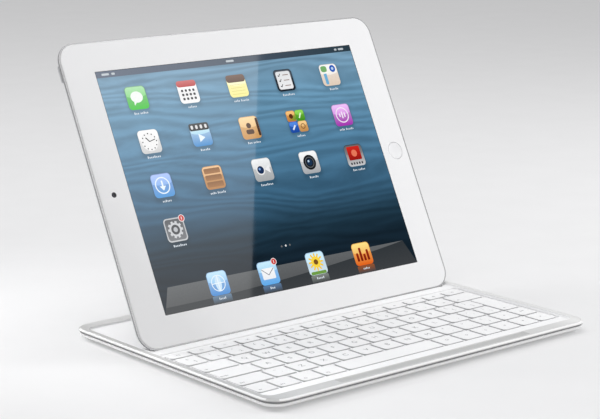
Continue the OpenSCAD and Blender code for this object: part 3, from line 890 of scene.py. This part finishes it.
def pointer(ink, x, y, turn, tail=0.0):
    """An arrow, which has a tail only if it aims along X."""
    ink.arrow(x, y, 1.7, turn)
    if tail:
        ink.bar(x - math.cos(math.radians(turn)) * (0.5 + tail / 2), y, tail, 0.3)


def dashes(ink, x, y, count):
    for k in range(count):
        ink.bar(x + 1.1 * (k - (count - 1) / 2), y, 0.75, 0.9 + 0.5 * (k % 3 == 0))


def cross(ink, x, y):
    ink.bar(x, y, 2.0, 0.32)
    ink.bar(x, y, 0.32, 2.0)


PRINTS = {
    "function_keys": function_marks,
    "number_keys": characters("§1234567890-=", "±!\"£$%^&*()_+"),
    "backspace_key": corner(pointer, 180, 1.4),
    "tab_key": corner(pointer, 0, 1.4),
    "top_letter_keys": characters("QWERTYUIOP[]", "          {}"),
    "return_key": corner(pointer, 180, 1.4),
    "caps_lock_key": corner(dashes, 5),
    "home_letter_keys": characters("ASDFGHJKL;'\\", "         :\"|"),
    "left_shift_key": corner(dashes, 3),
    "bottom_letter_keys": characters("`ZXCVBNM,./", "~       <>?"),
    "up_arrow_key": centred(pointer, 90),
    "right_shift_key": centred(dashes, 3),
    "fn_key": corner(dashes, 2),
    "control_key": corner(dashes, 3),
    "left_option_key": corner(Ink.ring, 0.95),
    "left_command_key": corner(Ink.box, 1.9, 1.9),
    "space_bar": None,
    "right_command_key": centred(Ink.box, 1.9, 1.9),
    "right_option_key": centred(Ink.ring, 0.95),
    "right_control_key": centred(cross),
    "left_arrow_key": centred(pointer, 180),
    "down_arrow_key": centred(pointer, 270),
    "right_arrow_key": centred(pointer, 0),
}


def keys():
    """Every keycap, and below it the rubber dome and the scissor links that give way."""
    plate_top = plain("membrane_sheet")[1].z
    for node, printer in PRINTS.items():
        body = next(b for b, members in frame["record"]["behaviour"]["bodies"].items() if node in members)
        caps, domes, links = Shape(), Shape(), Shape()
        for i, (low, high) in enumerate(islands(node)):
            top, centre = keycap(caps, low, high)
            if printer:
                printer(Ink(caps, top, centre, (high.x - low.x, high.y - low.y)), i)
            dome(domes, centre, plate_top, low.z - 0.1)
            link_pair(links, centre, plate_top, low.z)
        piece(node + "_caps", caps, body, "key_white", "key_ink", "key_skirt_painted_shade", replaced=node, sharp=40)
        for ending, shape, look, old in (("_domes", domes, "silicone", "rubber_domes"),
                                         ("_links", links, "film", "scissor_links")):
            made = piece(node + ending, shape, "cover", look, replaced=old)
            made.modifiers.clear()
            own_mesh(made)


def dome(shape, at, low, high):
    """A rubber cup: thin skirt, cone and a flat crown."""
    h = high - low
    profile = [(2.6, 0), (2.55, 0.12), (2.1, 0.35 * h), (1.6, 0.8 * h), (1.4, h), (0.6, h)]
    shape.loft(discs([(r, low + z) for r, z in profile], at, 16))


def link_pair(shape, at, low, high):
    """Two flat frames that lean opposite ways, one inside the other."""
    mid, c, s, half = (low + high) / 2, math.cos(math.radians(7)), math.sin(math.radians(7)), 0.2
    for w, sign in ((10.4, 1), (8.4, -1)):
        loops = []
        for ww, dd, z in ((w, 6.4, -half), (w, 6.4, half), (w - 1.6, 5.6, half), (w - 1.6, 5.6, -half)):
            flat = outline(ww, dd, 0.4, steps=2)
            loops.append([(at[0] + x, at[1] + y * c - sign * z * s, mid + sign * y * s + z * c) for x, y in flat])
        shape.loft(loops, closed=True)


# ---- Tablet ----

tab_w, tab_h = shell_high.x - shell_low.x, shell_high.y - shell_low.y
tab_t = tablet_origin.z - shell_low.z
tab_r = 12.0
mid_v = tab_h / 2
display_low, display_high = on_tablet("tablet_display")
screen_w, screen_h = display_high.x - display_low.x - 4, display_high.y - display_low.y - 4
MIDDLE = (0, mid_v)
jack_at = tablet_turn @ Vector(mounts["headphone_jack"]["pos_m"]) / MM - tablet_origin


def round_place(node):
    """Middle and radius of a round CAD node in the tablet's face."""
    low, high = on_tablet(node)
    return middle(low, high)[:2], (high.x - low.x) / 2


def upright(ring, across, place):
    """A loop stood up across the X axis (0) or the Y axis (1)."""
    return [(a, place, z) if across else (place, a, z) for a, z in ring]


def tablet_tool():
    """The jack's bore, the dock slot, the rear camera's window, the button slots and the microphone."""
    tool = Shape()

    def slot(node, grow, r, across, ends, room=0.0):
        low, high = on_tablet(node)
        along, at = 1 - across, middle(low, high)
        size = (high[along] - low[along] + grow + 2 * room, high.z - low.z + grow)
        ring = outline(*size, r, (at[along] + room, at[2]))
        tool.loft([upright(ring, across, place) for place in ends])

    tool.bore(1.8, (-tab_w / 2 - 2, jack_at.y, jack_at.z), (-tab_w / 2 + 14, jack_at.y, jack_at.z))
    slot("tablet_dock_port", 0.4, 1.2, 0, (tab_w / 2 - 12, tab_w / 2 + 2))
    centre, r = round_place("tablet_rear_camera")
    tool.loft(discs([(r + 0.2, -tab_t - 1), (r + 0.2, -tab_t + 5)], centre, 40))
    slot("tablet_power_button", 0.6, 1.1, 0, (-tab_w / 2 - 2, -tab_w / 2 + 6.5))
    slot("volume_rocker", 0.6, 1.1, 1, (tab_h - 6.5, tab_h + 2))
    slot("mute_switch", 0.6, 1.1, 1, (tab_h - 6.5, tab_h + 2), room=0.95)
    tool.bore(0.35, (0, tab_h - 5, -3.4), (0, tab_h + 1, -3.4), 12)
    return tool


def tablet_shell():
    """The aluminium back: flat middle, edge curved forwards to a thin polished lip."""
    back_r, back_inset, lip = 12.0, 11.4, -0.35
    angles = [math.radians(a) for a in range(0, 91, 5)]
    curve = [(back_inset - back_r * math.sin(a), -tab_t + back_r * (1 - math.cos(a))) for a in angles]
    curve = [(i, w) for i, w in curve if w < lip - 0.5 and i > 0.0]
    edge = [(0, lip - 0.7), (0, lip - 0.3), (0.09, lip - 0.09), (0.3, lip)]
    inside = [(0.92, lip), (0.95, lip - 0.05), (0.95, -1.0), (4.0, -1.2), (4.0, -4.2), (9.0, -4.4), (9.0, 1.4 - tab_t)]
    profile = [(34, -tab_t)] + curve + edge + inside + [(9.6, 1 - tab_t), (34, 1 - tab_t)]
    shape = Shape().loft(layers(tab_w, tab_h, tab_r, profile, MIDDLE, 14))
    made = piece("tablet_back", shape, "tablet", "tablet_metal", "edge_polish", "edge_painted_shade",
                 replaced="tablet_shell", tool=tablet_tool())
    # Faces on the left and right side walls take the dark copy of the metal, painted shade; the lip takes the polished
    # finish
    for face in made.data.polygons:
        at, facing = tablet_turn @ face.center / MM - tablet_origin, tablet_turn @ face.normal
        shaded_side = abs(facing.x) > 0.5 and abs(at.x) > tab_w / 2 - 8 and lip - 0.75 < at.z < lip - 0.02
        face.material_index = 2 if shaded_side else 1 if at.z > lip - 0.32 and facing.z > 0.2 else 0


def glass():
    """The white front glass, with openings for the screen, the home button and the camera."""
    home, home_r = round_place("home_button")
    eye, eye_r = round_place("tablet_front_camera")[0], 1.65
    w, h = glass_high.x - glass_low.x, glass_high.y - glass_low.y + 0.8

    def edge(i):
        return outline(w - 2 * i, h - 2 * i, tab_r - 1.4 - i, MIDDLE, 14)

    def opening(i):
        return outline(screen_w + 0.5 - 2 * i, screen_h + 0.5 - 2 * i, 0.3 - min(i, 0.2), MIDDLE, 2)

    def button(i):
        return circle(home_r + 0.2 - i, home, 48)

    def window(i):
        return circle(eye_r - i, eye, 32)

    shape = Shape()
    shape.panel(edge, [opening, button, window], glass_low.z - glass_high.z, 0, outer_edge=0.3, hole_edge=0.0)
    piece("front_glass", shape, "tablet", "white_glass", slot="tablet_white_glass", replaced="tablet_glass")
    outer = outline(tab_w - 2 * 0.96, tab_h - 2 * 0.96, tab_r - 0.96, MIDDLE, 14)
    inner = outline(w + 0.03, h + 0.03, tab_r - 1.4, MIDDLE, 14)
    piece("glass_gasket", Shape().frame(outer, inner, -0.8, -0.27), "tablet", "gasket_grey", slot="grey_rubber")
    bowl = [(1.63, -1.2), (1.63, -0.02), (1.5, -0.05), (1.2, -0.36), (0.8, -0.52), (0.3, -0.58)]
    piece("front_lens", Shape().loft(discs(bowl, eye)), "tablet", "lens_black", replaced="tablet_front_camera")


def home_button():
    """A shallow dished button."""
    low, high = on_tablet("home_button")
    centre, r = round_place("home_button")
    top = high.z
    profile = [(r, low.z), (r, top - 0.15), (r - 0.1, top - 0.03), (r - 0.3, top)]
    profile += [(r * s, top - 0.22 * (1 - s * s)) for s in (0.85, 0.65, 0.45, 0.25, 0.08)]
    piece("home_dish", Shape().loft(discs(profile, centre, 48)), "home", "button_white", replaced="home_button")


def side_buttons():
    """Bars with rounded ends and a softened face: power on the left edge, volume and mute on the top one."""
    for name, node, body, across, ribs in (("power_bar", "tablet_power_button", "tablet_power", 0, 0),
                                           ("volume_bar", "volume_rocker", "volume", 1, 0),
                                           ("mute_slider", "mute_switch", "mute", 1, 3)):
        low, high = on_tablet(node)
        along, at = 1 - across, middle(low, high)
        length, thick = high[along] - low[along], high.z - low.z
        face, back, sign = (high[1], low[1], 1) if across else (low[0], high[0], -1)
        loops = []
        for inset, place in ((0, back), (0, face - sign * 0.2), (0.06, face - sign * 0.06), (0.2, face)):
            r = thick / 2 - 0.02 - inset * 0.9
            ring = outline(length - 2 * inset, thick - 2 * inset, r, (at[along], at[2]), 6)
            loops.append(upright(ring, across, place))
        shape = Shape().loft(loops)
        for k in range(ribs):
            x = at[0] + 0.5 * (k - (ribs - 1) / 2)
            shape.block(x - 0.1, x + 0.1, face - 0.1, face + 0.04, low.z + 0.4, high.z - 0.4)
        piece(name, shape, body, "button_metal", replaced=node)


def rear_lens():
    """The rear camera: a metal ring, a sunk black window and the lens in it."""
    back = on_tablet("tablet_rear_camera")[0].z
    centre, r = round_place("tablet_rear_camera")
    profile = [(r, 2), (r, 0.12), (r - 0.1, 0), (r - 0.45, 0), (r - 0.55, 0.12), (r - 0.55, 2)]
    ring = Shape().loft(discs([(i, back + z) for i, z in profile], centre, 40), closed=True)
    piece("camera_ring", ring, "tablet", "edge_polish", slot="button_metal")
    profile = [(r - 0.56, 4), (r - 0.56, 0.25), (1.5, 0.22), (1.35, 0.4), (0.8, 0.3), (0.2, 0.26)]
    window = Shape().loft(discs([(i, back + z) for i, z in profile], centre, 40))
    piece("camera_window", window, "tablet", "lens_black", replaced="tablet_rear_camera")


def jack_sleeve():
    """The black lining of the headphone jack."""
    depths = [(1.79, 3.3), (1.5, 3.3), (1.5, 12), (0.1, 12), (0.1, 12.4), (1.79, 12.4)]
    loops = [upright(circle(r, jack_at[1:], 24), 0, x - tab_w / 2) for r, x in depths]
    piece("jack_sleeve", Shape().loft(loops, closed=True), "tablet", "socket_black", slot="lens_black")


# ---- Screen ----

PICTURE_W = -0.12
TILE = 14.4
PALE, WHITE, INKY = (235, 245, 252), (240, 245, 240), (25, 25, 25)


def fade(low, high, first, last, axis=1):
    """A colour that runs from first to last between two places on the screen, up it or along it."""

    def tint(point):
        share = min(max((point[axis] - low) / (high - low), 0), 1)
        return tuple(a + (b - a) * share for a, b in zip(srgb(*first), srgb(*last)))

    return tint


def in_shade(point):
    """The picture's own colour at a height, a little darker."""
    share = min(max((point[1] - mid_v) / screen_h + 0.5, 0), 1)
    for (low, first), (high, last) in zip(WATER, WATER[1:]):
        if low <= share <= high:
            mix = (share - low) / (high - low)
            return tuple(0.72 * (a + (b - a) * mix) for a, b in zip(srgb(*first), srgb(*last)))


class Print:
    """Flat coloured shapes on the screen, each a thin layer above the last, placed from a movable origin."""

    def __init__(self):
        self.shape, self.at, self.base = Shape(), (0, 0), 0

    def put(self, points, colour, layer=3, hole=None):
        z = PICTURE_W + 0.01 * (layer + self.base)
        u, v = self.at
        tint = colour if callable(colour) else srgb(*colour)
        outer, inner = ([(u + x, v + y) for x, y in loop or ()] for loop in (points, hole))
        if inner:
            self.shape.frame(outer, inner, z, z + 0.008, tint)
        else:
            self.shape.prism(outer, z, z + 0.008, tint)

    def tile(self, bottom, top, x=0, y=0, w=TILE, h=TILE, r=2.4, layer=2):
        """A rounded tile whose colour changes from its bottom to its top."""
        v = self.at[1] + y
        self.put(outline(w, h, r, (x, y), 5), fade(v - h / 2, v + h / 2, bottom, top), layer)

    def plate(self, bottom, top, x=0, y=0, w=TILE, r=2.4):
        """An icon's square tile, with a brighter upper half, and its shadow on the picture."""
        self.tile(bottom, top, x, y, w, w, r, 1)
        if not self.base:
            self.put(outline(w + 1.0, w + 1.0, r + 0.5, (x, y - 0.45), 5), in_shade, 0.2)
        shine = [min(c + 40, 255) for c in top]
        v = self.at[1] + y
        lit = fade(v, v + w / 2, [(a + 2 * b) / 3 for a, b in zip(bottom, shine)], shine)
        bow = [(x + (w / 2 - 0.4) * k / 6, y + 1.2 - 1.1 * (1 - (k / 6) ** 2)) for k in range(-6, 7)]
        crown = [q for q in outline(w - 0.8, w - 0.8, r - 0.4, (x, y), 5) if q[1] > y + 1.3]
        self.put(bow + crown, lit, 1.8)

    def bar(self, x, y, w, h, colour, layer=3):
        self.put(outline(w, h, min(w, h) / 3, (x, y), 2), colour, layer)

    def disc(self, x, y, r, colour, layer=3):
        self.put(circle(r, (x, y), 24), colour, layer)

    def ring(self, x, y, r, line, colour):
        self.put(circle(r, (x, y), 28), colour, hole=circle(r - line, (x, y), 28))

    def oval(self, y, rx, ry, colour, count):
        self.put([(rx * x, y + ry * z) for x, z in circle(1, count=count)], colour)

    def blade(self, x, y, length, width, turn, colour, layer=4):
        """A thin bar from a point outwards at an angle in degrees."""
        a = math.radians(turn)
        along, side = Vector((math.cos(a), math.sin(a))), Vector((-math.sin(a), math.cos(a))) * width / 2
        start, end = Vector((x, y)), Vector((x, y)) + along * length
        self.put([start - side, end - side, end + side, start + side], colour, layer)

    def badge(self):
        """A red mark on an icon's upper right corner."""
        self.disc(6.2, 6.2, 2.2, (240, 225, 225), 5)
        self.disc(6.2, 6.2, 1.75, (200, 45, 40), 6)
        self.bar(6.2, 6.2, 0.5, 1.9, (245, 235, 235), 7)

    def caption(self, y, words):
        """A row of small pale blocks of two heights in place of a caption."""
        at = -(sum(words) + 0.7 * (len(words) - 1)) / 2
        for w in words:
            count = max(round(w / 1.15), 1)
            for k in range(count):
                tall = 0.45 if (k * 7 + int(w * 10)) % 4 == 0 else 0
                self.bar(at + (k + 0.5) * w / count, y + tall / 2, w / count - 0.45, 1.0 + tall, (214, 222, 230), 1)
            at += w + 0.7


def chat(p):
    p.plate((55, 195, 45), (135, 185, 135))
    p.oval(0.5, 4.3, 3.5, WHITE, 24)
    p.put([(-2.6, -1.6), (-0.6, -2.6), (-2.8, -4.6)], WHITE)


def calendar(p):
    p.plate((245, 245, 245), (225, 225, 228))
    p.tile((185, 60, 60), (205, 110, 110), y=5.2, h=4.0, r=1.8)
    for i in range(4):
        for k in range(3):
            p.bar(2.8 * i - 4.2, 0.9 - 2.6 * k, 1.7, 1.6, (45, 45, 50))


def note(p):
    p.plate((245, 238, 150), (250, 243, 180))
    p.tile((95, 70, 58), (120, 95, 82), y=4.8, h=4.8, r=1.8)
    for k in range(4):
        p.bar(0, 0.8 - 2.0 * k, 10.5, 0.2, (205, 190, 110))


def checklist(p):
    p.plate((30, 36, 46), (45, 52, 62))
    p.tile((238, 238, 240), (228, 230, 232), 0, 0, 11.4, 11.8, 1.4)
    for y in (3.5, 0, -3.5):
        p.blade(-4.2, y, 1.0, 0.5, -50, (30, 30, 35))
        p.blade(-3.6, y - 0.8, 2.2, 0.5, 55, (30, 30, 35))
        p.bar(1.8, y, 4.6, 0.55, (150, 130, 125))


def street_map(p):
    p.plate((226, 205, 185), (236, 228, 220))
    p.bar(-3.6, 4.2, 5.0, 4.0, (120, 175, 110), 2)
    p.bar(-3.6, -2.0, 2.4, 8.4, (110, 175, 215), 2)
    p.blade(-6.2, 1.4, 12.6, 1.0, 4, (250, 250, 240), 3)
    p.disc(3.6, 4.0, 2.4, (40, 90, 185), 4)
    p.disc(3.6, 4.0, 1.0, (190, 215, 245), 5)


def clock(p):
    p.plate((205, 205, 205), (235, 235, 235))
    p.disc(0, 0, 5.8, (240, 240, 240), 2)
    for x, y in circle(4.9, count=12):
        p.disc(x, y, 0.42, (40, 40, 40))
    p.blade(0, 0, 3.4, 0.7, 130, INKY)
    p.blade(0, 0, 4.3, 0.5, 15, INKY)


def film_clip(p):
    p.plate((60, 140, 205), (190, 215, 232))
    p.tile((28, 30, 32), (60, 62, 64), y=4.9, h=4.6, r=1.2)
    for k in range(4):
        p.bar(3.4 * k - 5.1, 4.9, 1.7, 2.4, (225, 225, 225))
    p.put([(-1.8, -4.6), (2.6, -2.0), (-1.8, 0.6)], (235, 245, 250))


def contact(p):
    p.plate((205, 150, 85), (222, 182, 130))
    p.bar(6.2, 0, 1.8, 11.5, (70, 45, 30), 2)
    p.disc(-0.6, 1.4, 1.8, (85, 55, 35))
    p.put(outline(6.0, 3.0, 1.2, (-0.6, -2.6), 4), (85, 55, 35))


def games(p):
    q = TILE / 4
    for x, y, low, high in ((-q, q, (200, 120, 60), (225, 165, 90)), (q, q, (60, 140, 30), (120, 190, 60)),
                            (-q, -q, (25, 70, 160), (50, 105, 195)), (q, -q, (195, 140, 80), (220, 175, 110))):
        p.plate(low, high, x, y, TILE / 2, 1.6)
    p.disc(-q, q, 1.6, (90, 45, 25))
    p.blade(q - 1, q - 1.8, 3.8, 0.9, 60, (235, 245, 225))
    p.blade(-q - 1.2, -q - 1.6, 3.6, 1.1, 50, (225, 235, 250))
    p.ring(q, -q, 1.8, 0.5, (120, 75, 40))


def sound(p):
    p.plate((165, 45, 175), (205, 160, 215))
    p.ring(0, 0, 5.2, 0.7, (245, 235, 248))
    for x, h in ((-2, 2.4), (0, 4.6), (2, 3.2)):
        p.bar(x, 0, 1.0, h, (245, 235, 248))


def store(p):
    p.plate((70, 150, 215), (135, 158, 210))
    p.ring(0, 0, 5.2, 0.7, PALE)
    p.bar(0, 0.9, 1.1, 4.2, PALE)
    p.put([(-2.2, -0.4), (0, -3.2), (2.2, -0.4)], PALE)


def shelf(p):
    p.plate((185, 130, 75), (205, 160, 110))
    for y in (4.2, 0, -4.2):
        p.tile((165, 115, 70), (140, 95, 55), 0, y, 12.0, 3.3, 0.7)


def video(p):
    p.plate((165, 168, 170), (205, 207, 208))
    p.disc(-1.6, 0, 3.3, (235, 235, 235), 2)
    p.disc(-1.6, 0, 2.5, (20, 45, 85))
    p.disc(-2.2, 0.6, 0.8, (120, 160, 215), 4)
    p.put([(1.8, 0), (5.4, -2.6), (5.4, 2.6)], (240, 240, 242))


def snapshot(p):
    p.plate((165, 168, 172), (222, 223, 225))
    p.disc(0, 0, 4.9, (22, 24, 28), 2)
    p.ring(0, 0, 3.6, 0.6, (90, 95, 100))
    p.disc(0, 0, 2.2, (25, 50, 80), 4)
    p.disc(-0.7, 0.8, 0.7, (190, 215, 235), 5)


def album(p):
    p.plate((200, 200, 202), (60, 56, 58))
    p.tile((150, 20, 15), (205, 40, 30), 0, 1.4, 10.6, 9.0, 0.8)
    p.disc(0, 1.4, 2.3, (230, 120, 90))
    for k in range(5):
        p.bar(2.2 * k - 4.4, -5.3, 1.3, 1.6, (70, 70, 75))


def gear(p):
    p.plate((200, 202, 205), (165, 168, 172))
    p.tile((120, 122, 126), (88, 90, 94), 0, 0, 12.8, 12.8, 1.8)
    for turn in range(0, 360, 36):
        p.blade(0, 0, 5.2, 1.5, turn, (205, 207, 210), 3)
    p.disc(0, 0, 4.2, (205, 207, 210))
    p.disc(0, 0, 3.0, (70, 72, 76), 4)
    p.disc(0, 0, 1.5, (185, 188, 192), 5)


def globe(p):
    p.plate((70, 140, 210), (160, 195, 228))
    p.ring(0, 0, 5.0, 0.5, PALE)
    p.oval(0, 2.2, 4.8, (205, 228, 245), 20)
    p.bar(0, 0, 9.6, 0.5, PALE, 4)
    p.bar(0, 0, 0.5, 9.6, PALE, 4)


def envelope(p):
    p.plate((95, 170, 235), (165, 200, 235))
    p.tile((238, 240, 244), (248, 249, 250), 0, -0.4, 9.6, 6.8, 0.6)
    p.blade(-4.6, 2.6, 6.1, 0.45, -40, (120, 125, 135), 3)
    p.blade(4.6, 2.6, 6.1, 0.45, 220, (120, 125, 135), 3)


def flower(p):
    p.plate((215, 232, 240), (165, 200, 228))
    for turn in range(0, 360, 30):
        p.blade(0, 0.8, 5.6, 1.1, turn, (245, 200, 60), 2)
    p.disc(0, 0.8, 3.6, (250, 215, 70))
    p.disc(0, 0.8, 1.7, (120, 80, 35), 4)
    p.bar(0, -6.0, 12.0, 2.0, (110, 155, 70))


def levels(p):
    p.plate((225, 95, 20), (245, 190, 100))
    for k, h in enumerate((5.4, 8.6, 4.2, 6.8)):
        p.tile((120, 25, 10), (150, 40, 15), 2.8 * k - 4.2, h / 2 - 4.4, 1.8, h, 0.5, layer=3)


GRID = [[chat, calendar, note, checklist, street_map], [clock, film_clip, contact, games, sound],
        [store, shelf, video, snapshot, album], [gear]]
CAPTIONS = ([4.6, 6.4], [9.6], [7.2], [3.6, 5.8], [6.6])
# Each dock icon, the colour of its reflection in the shelf, and the words of its caption
DOCK = [(globe, (104, 132, 158), [5.2]), (envelope, (92, 122, 158), [4.0]), (flower, (128, 134, 130), [6.0]),
        (levels, (150, 84, 44), [5.4])]


def status_bar(p, half_w, high_v):
    # The bar is painted lighter towards its left end: painted light beside the glare over the left of the screen
    p.put([(-half_w, high_v - 3.9), (half_w, high_v - 3.9), (half_w, high_v), (-half_w, high_v)],
          fade(-half_w, half_w * 0.6, (92, 103, 122), (42, 60, 70), 0), 1)
    for u, w in ((-92, 5.2), (-86.5, 2.4), (0, 6.0), (86, 2.0), (90.5, 4.4)):
        p.bar(u, high_v - 1.95, w, 1.3, (190, 198, 204), 2)


def dock_shelf(p, half_w, low_v):
    """A grey shelf that narrows upwards, with a bowed sheen along its rear edge."""
    height, narrow = 15.4, 6.5
    top, top_half = low_v + height, half_w - narrow
    p.put([(-half_w, low_v), (half_w, low_v), (top_half, top), (-top_half, top)],
          fade(low_v, top, (60, 63, 66), (48, 53, 57)), 1)
    sheen = []
    for k in range(31):
        fall = 11.5 * math.sin(math.pi / 2 * k / 30) ** 0.9
        sheen.append((top_half - 2 * top_half * k / 30 - narrow / height * fall * (k == 30), top - fall))
    p.put([(-top_half, top)] + sheen[::-1], fade(low_v + 4, top, (84, 86, 88), (98, 101, 103)), 2)


def screen():
    """The lit picture, flush under the glass, and the generic home page printed on it."""
    half_w, low_v, high_v = screen_w / 2, mid_v - screen_h / 2, mid_v + screen_h / 2
    wallpaper()
    profile = [(0, display_low.z), (0, PICTURE_W - 0.02), (0.02, PICTURE_W)]
    shape = Shape().loft(layers(screen_w, screen_h, 0.2, profile, MIDDLE, 2))
    piece("screen", shape, "tablet", "screen_picture", slot="display", replaced="tablet_display")
    outer, inner = (outline(screen_w + a, screen_h + a, 0.25, MIDDLE, 2) for a in (0.48, 0.02))
    piece("screen_mask", Shape().frame(outer, inner, -0.8, -0.03), "tablet", "gasket_black", slot="lens_black")
    p = Print()
    status_bar(p, half_w, high_v)
    dock_shelf(p, half_w, low_v)
    for row, v in zip(GRID, ROW_V):
        for k, (icon, u) in enumerate(zip(row, COLUMNS)):
            p.at = (u, v)
            icon(p)
            p.caption(-9.7, CAPTIONS[(k + int(v)) % 5])
    p.badge()
    p.base = 2
    for (icon, mirrored, words), u in zip(DOCK, DOCK_U):
        p.at = (u, DOCK_V)
        icon(p)
        p.put(outline(TILE - 0.6, 4.6, 0.6, (0, -9.7), 3), fade(DOCK_V - 12, DOCK_V - 7.4, (66, 69, 72), mirrored), 0.9)
        p.caption(-9.4, words)
    p.at = (DOCK_U[1], DOCK_V)
    p.badge()
    p.at, p.base = (0, 0), 0
    for x, shade in ((-3.2, 110), (0, 235), (3.2, 110)):
        p.disc(x, 45.3, 0.62, (shade, shade, shade), 1)
    made = piece("screen_icons", p.shape, "tablet", "screen_print", slot="display")
    made.modifiers.clear()


# ---- CAD nodes that show or that hide inside ----

CARRIED = {
    "key_web": ["key_frame"],
    "grey_rubber": ["groove_liner"],
    "magnet_plate": ["groove_magnets", "wake_magnet", "clip_magnets", "tablet_magnets"],
    "steel": ["key_base_plate", "usb_socket", "case_screws", "hinge_pin", "tablet_dock_port"],
    "film": ["membrane_sheet"],
    "cell_foil": ["battery_cells", "tablet_battery"],
    "board_green": ["controller_board", "tablet_logic_board"],
    "ribbon": ["ribbon_cable"],
    "light_pipe": ["status_light"],
    "rim_metal": ["hinge_bracket"],
}


def carried():
    for look, members in CARRIED.items():
        for node in members:
            for place in nodes[node].material_slots:
                place.material = LOOKS[look]


# ---- Studio ----

AIM = Vector((-24.6, -8.6, 82.8)) * MM
AZIMUTH, ELEVATION, DISTANCE = math.radians(-40.08), math.radians(12.0), 1.06
EYE = AIM + DISTANCE * Vector((math.sin(AZIMUTH) * math.cos(ELEVATION), -math.cos(AZIMUTH) * math.cos(ELEVATION),
                               math.sin(ELEVATION)))


def floor():
    """A wide pale floor."""
    shape = Shape()
    shape.prism(circle(12000, count=96), -20, 0)
    made = to_object("floor", shape, Matrix.Scale(MM, 4))
    made.data.materials.append(LOOKS["floor_pale"])


def aimed(made, at, aim):
    made.location = at
    made.rotation_mode = "QUATERNION"
    made.rotation_quaternion = (Vector(aim) - Vector(at)).to_track_quat("-Z", "Y")


def lights():
    """Soft square lights, in metres and watts. The glass doesn't show them."""
    for name, at, aim, size, power, spread in (
        ("rear", (-0.29, 0.38, 0.26), (-0.1, 0.07, 0), 0.2, 0.12, 52),
        ("overhead", (-0.05, 0.15, 1.35), (0, 0, 0), 1.2, 8.2, 180),
        ("key", (0.95, -0.5, 0.5), (0, 0.03, 0.08), 0.6, 5.8, 180),
        ("back", (-0.9, 1.0, 1.0), (-0.1, 0, 0), 0.8, 4.2, 180),
    ):
        lamp = bpy.data.lights.new(name, "AREA")
        lamp.shape, lamp.size, lamp.size_y = "RECTANGLE", size, size
        lamp.energy, lamp.spread = power, math.radians(spread)
        made = placed(name, lamp)
        aimed(made, at, aim)
        made.visible_camera = made.visible_glossy = False


def camera():
    view = bpy.data.cameras.new("camera")
    view.sensor_width, view.lens, view.shift_x, view.shift_y = 36, 110.7, -0.0014, -0.0115
    view.clip_start, view.clip_end = 0.05, 100
    made = placed("camera", view)
    aimed(made, EYE, AIM)
    bpy.context.scene.camera = made


def glow(name, bottom, top):
    """A plain light or dark card's finish, in radiance from its lowest to its highest point."""
    material = bpy.data.materials.new(name)
    material.use_nodes = True
    tree = material.node_tree
    tree.nodes.remove(tree.nodes["Principled BSDF"])
    card = Nodes(tree)
    height = card.add("SeparateXYZ", {"Vector": card.add("TexCoord", out="Generated")}, "Z")
    light = card.add("Emission", {"Strength": card.moved(height, bottom, top, 0, 1)})
    tree.links.new(light, tree.nodes["Material Output"].inputs["Surface"])
    return material


def reflected_card(name, edges, material):
    """A card that the camera sees only as a reflection in the glass, where it covers the corners given."""
    points = [TABLET @ Vector((u, v, 0)) for u, v in edges]
    image = EYE - 2 * face_out.dot(EYE - points[0]) * face_out
    ahead = TABLET @ Vector((0, mid_v, 0)) - image
    aim = ahead.normalized()
    plane = image + aim * (ahead.length + 1.3)
    spread = []
    for point in points:
        ray = (point - image).normalized()
        spread.append(image + ray * ((plane - image).dot(aim) / ray.dot(aim)))
    mesh = bpy.data.meshes.new(name)
    mesh.from_pydata(spread, [], [range(len(spread))])
    made = placed(name, mesh)
    made.data.materials.append(material)
    made.visible_camera = made.visible_diffuse = made.visible_shadow = False


def cards():
    """Glare over the left of the screen that ends on a slanting line, and no reflection right of it."""
    top, bottom = (25.9, 173), (-38.7, 13)
    reflected_card("glare_card", [top, (-104, 173), (-104, 13), bottom], glow("card_light", 1.3, 2.4))
    reflected_card("dark_card", [top, bottom, (104, 13), (104, 173)], glow("card_dark", 0.02, 0.02))


def world():
    """A pale horizon under a dimmer ceiling."""
    made = bpy.data.worlds.new("studio")
    bpy.context.scene.world = made
    made.use_nodes = True
    sky = Nodes(made.node_tree)
    height = sky.add("SeparateXYZ", {"Vector": sky.add("TexCoord", out="Generated")}, "Z")
    colour = sky.ramp(height, [(0.0, grey(0.64, 0.005)), (0.14, grey(0.46, 0.005)), (1.0, grey(0.58, 0.005))])
    background = made.node_tree.nodes["Background"].inputs
    made.node_tree.links.new(colour, background["Color"])
    background["Strength"].default_value = 1.0


for build in (bottom_shell, seam_shadow_strip, rim, deck, feet, hinge_clip, edge_controls, keys, tablet_shell, glass,
              home_button, side_buttons, rear_lens, jack_sleeve, screen, carried, floor, camera, cards, world, lights):
    build()
bpy.context.scene.view_settings.view_transform = "Standard"
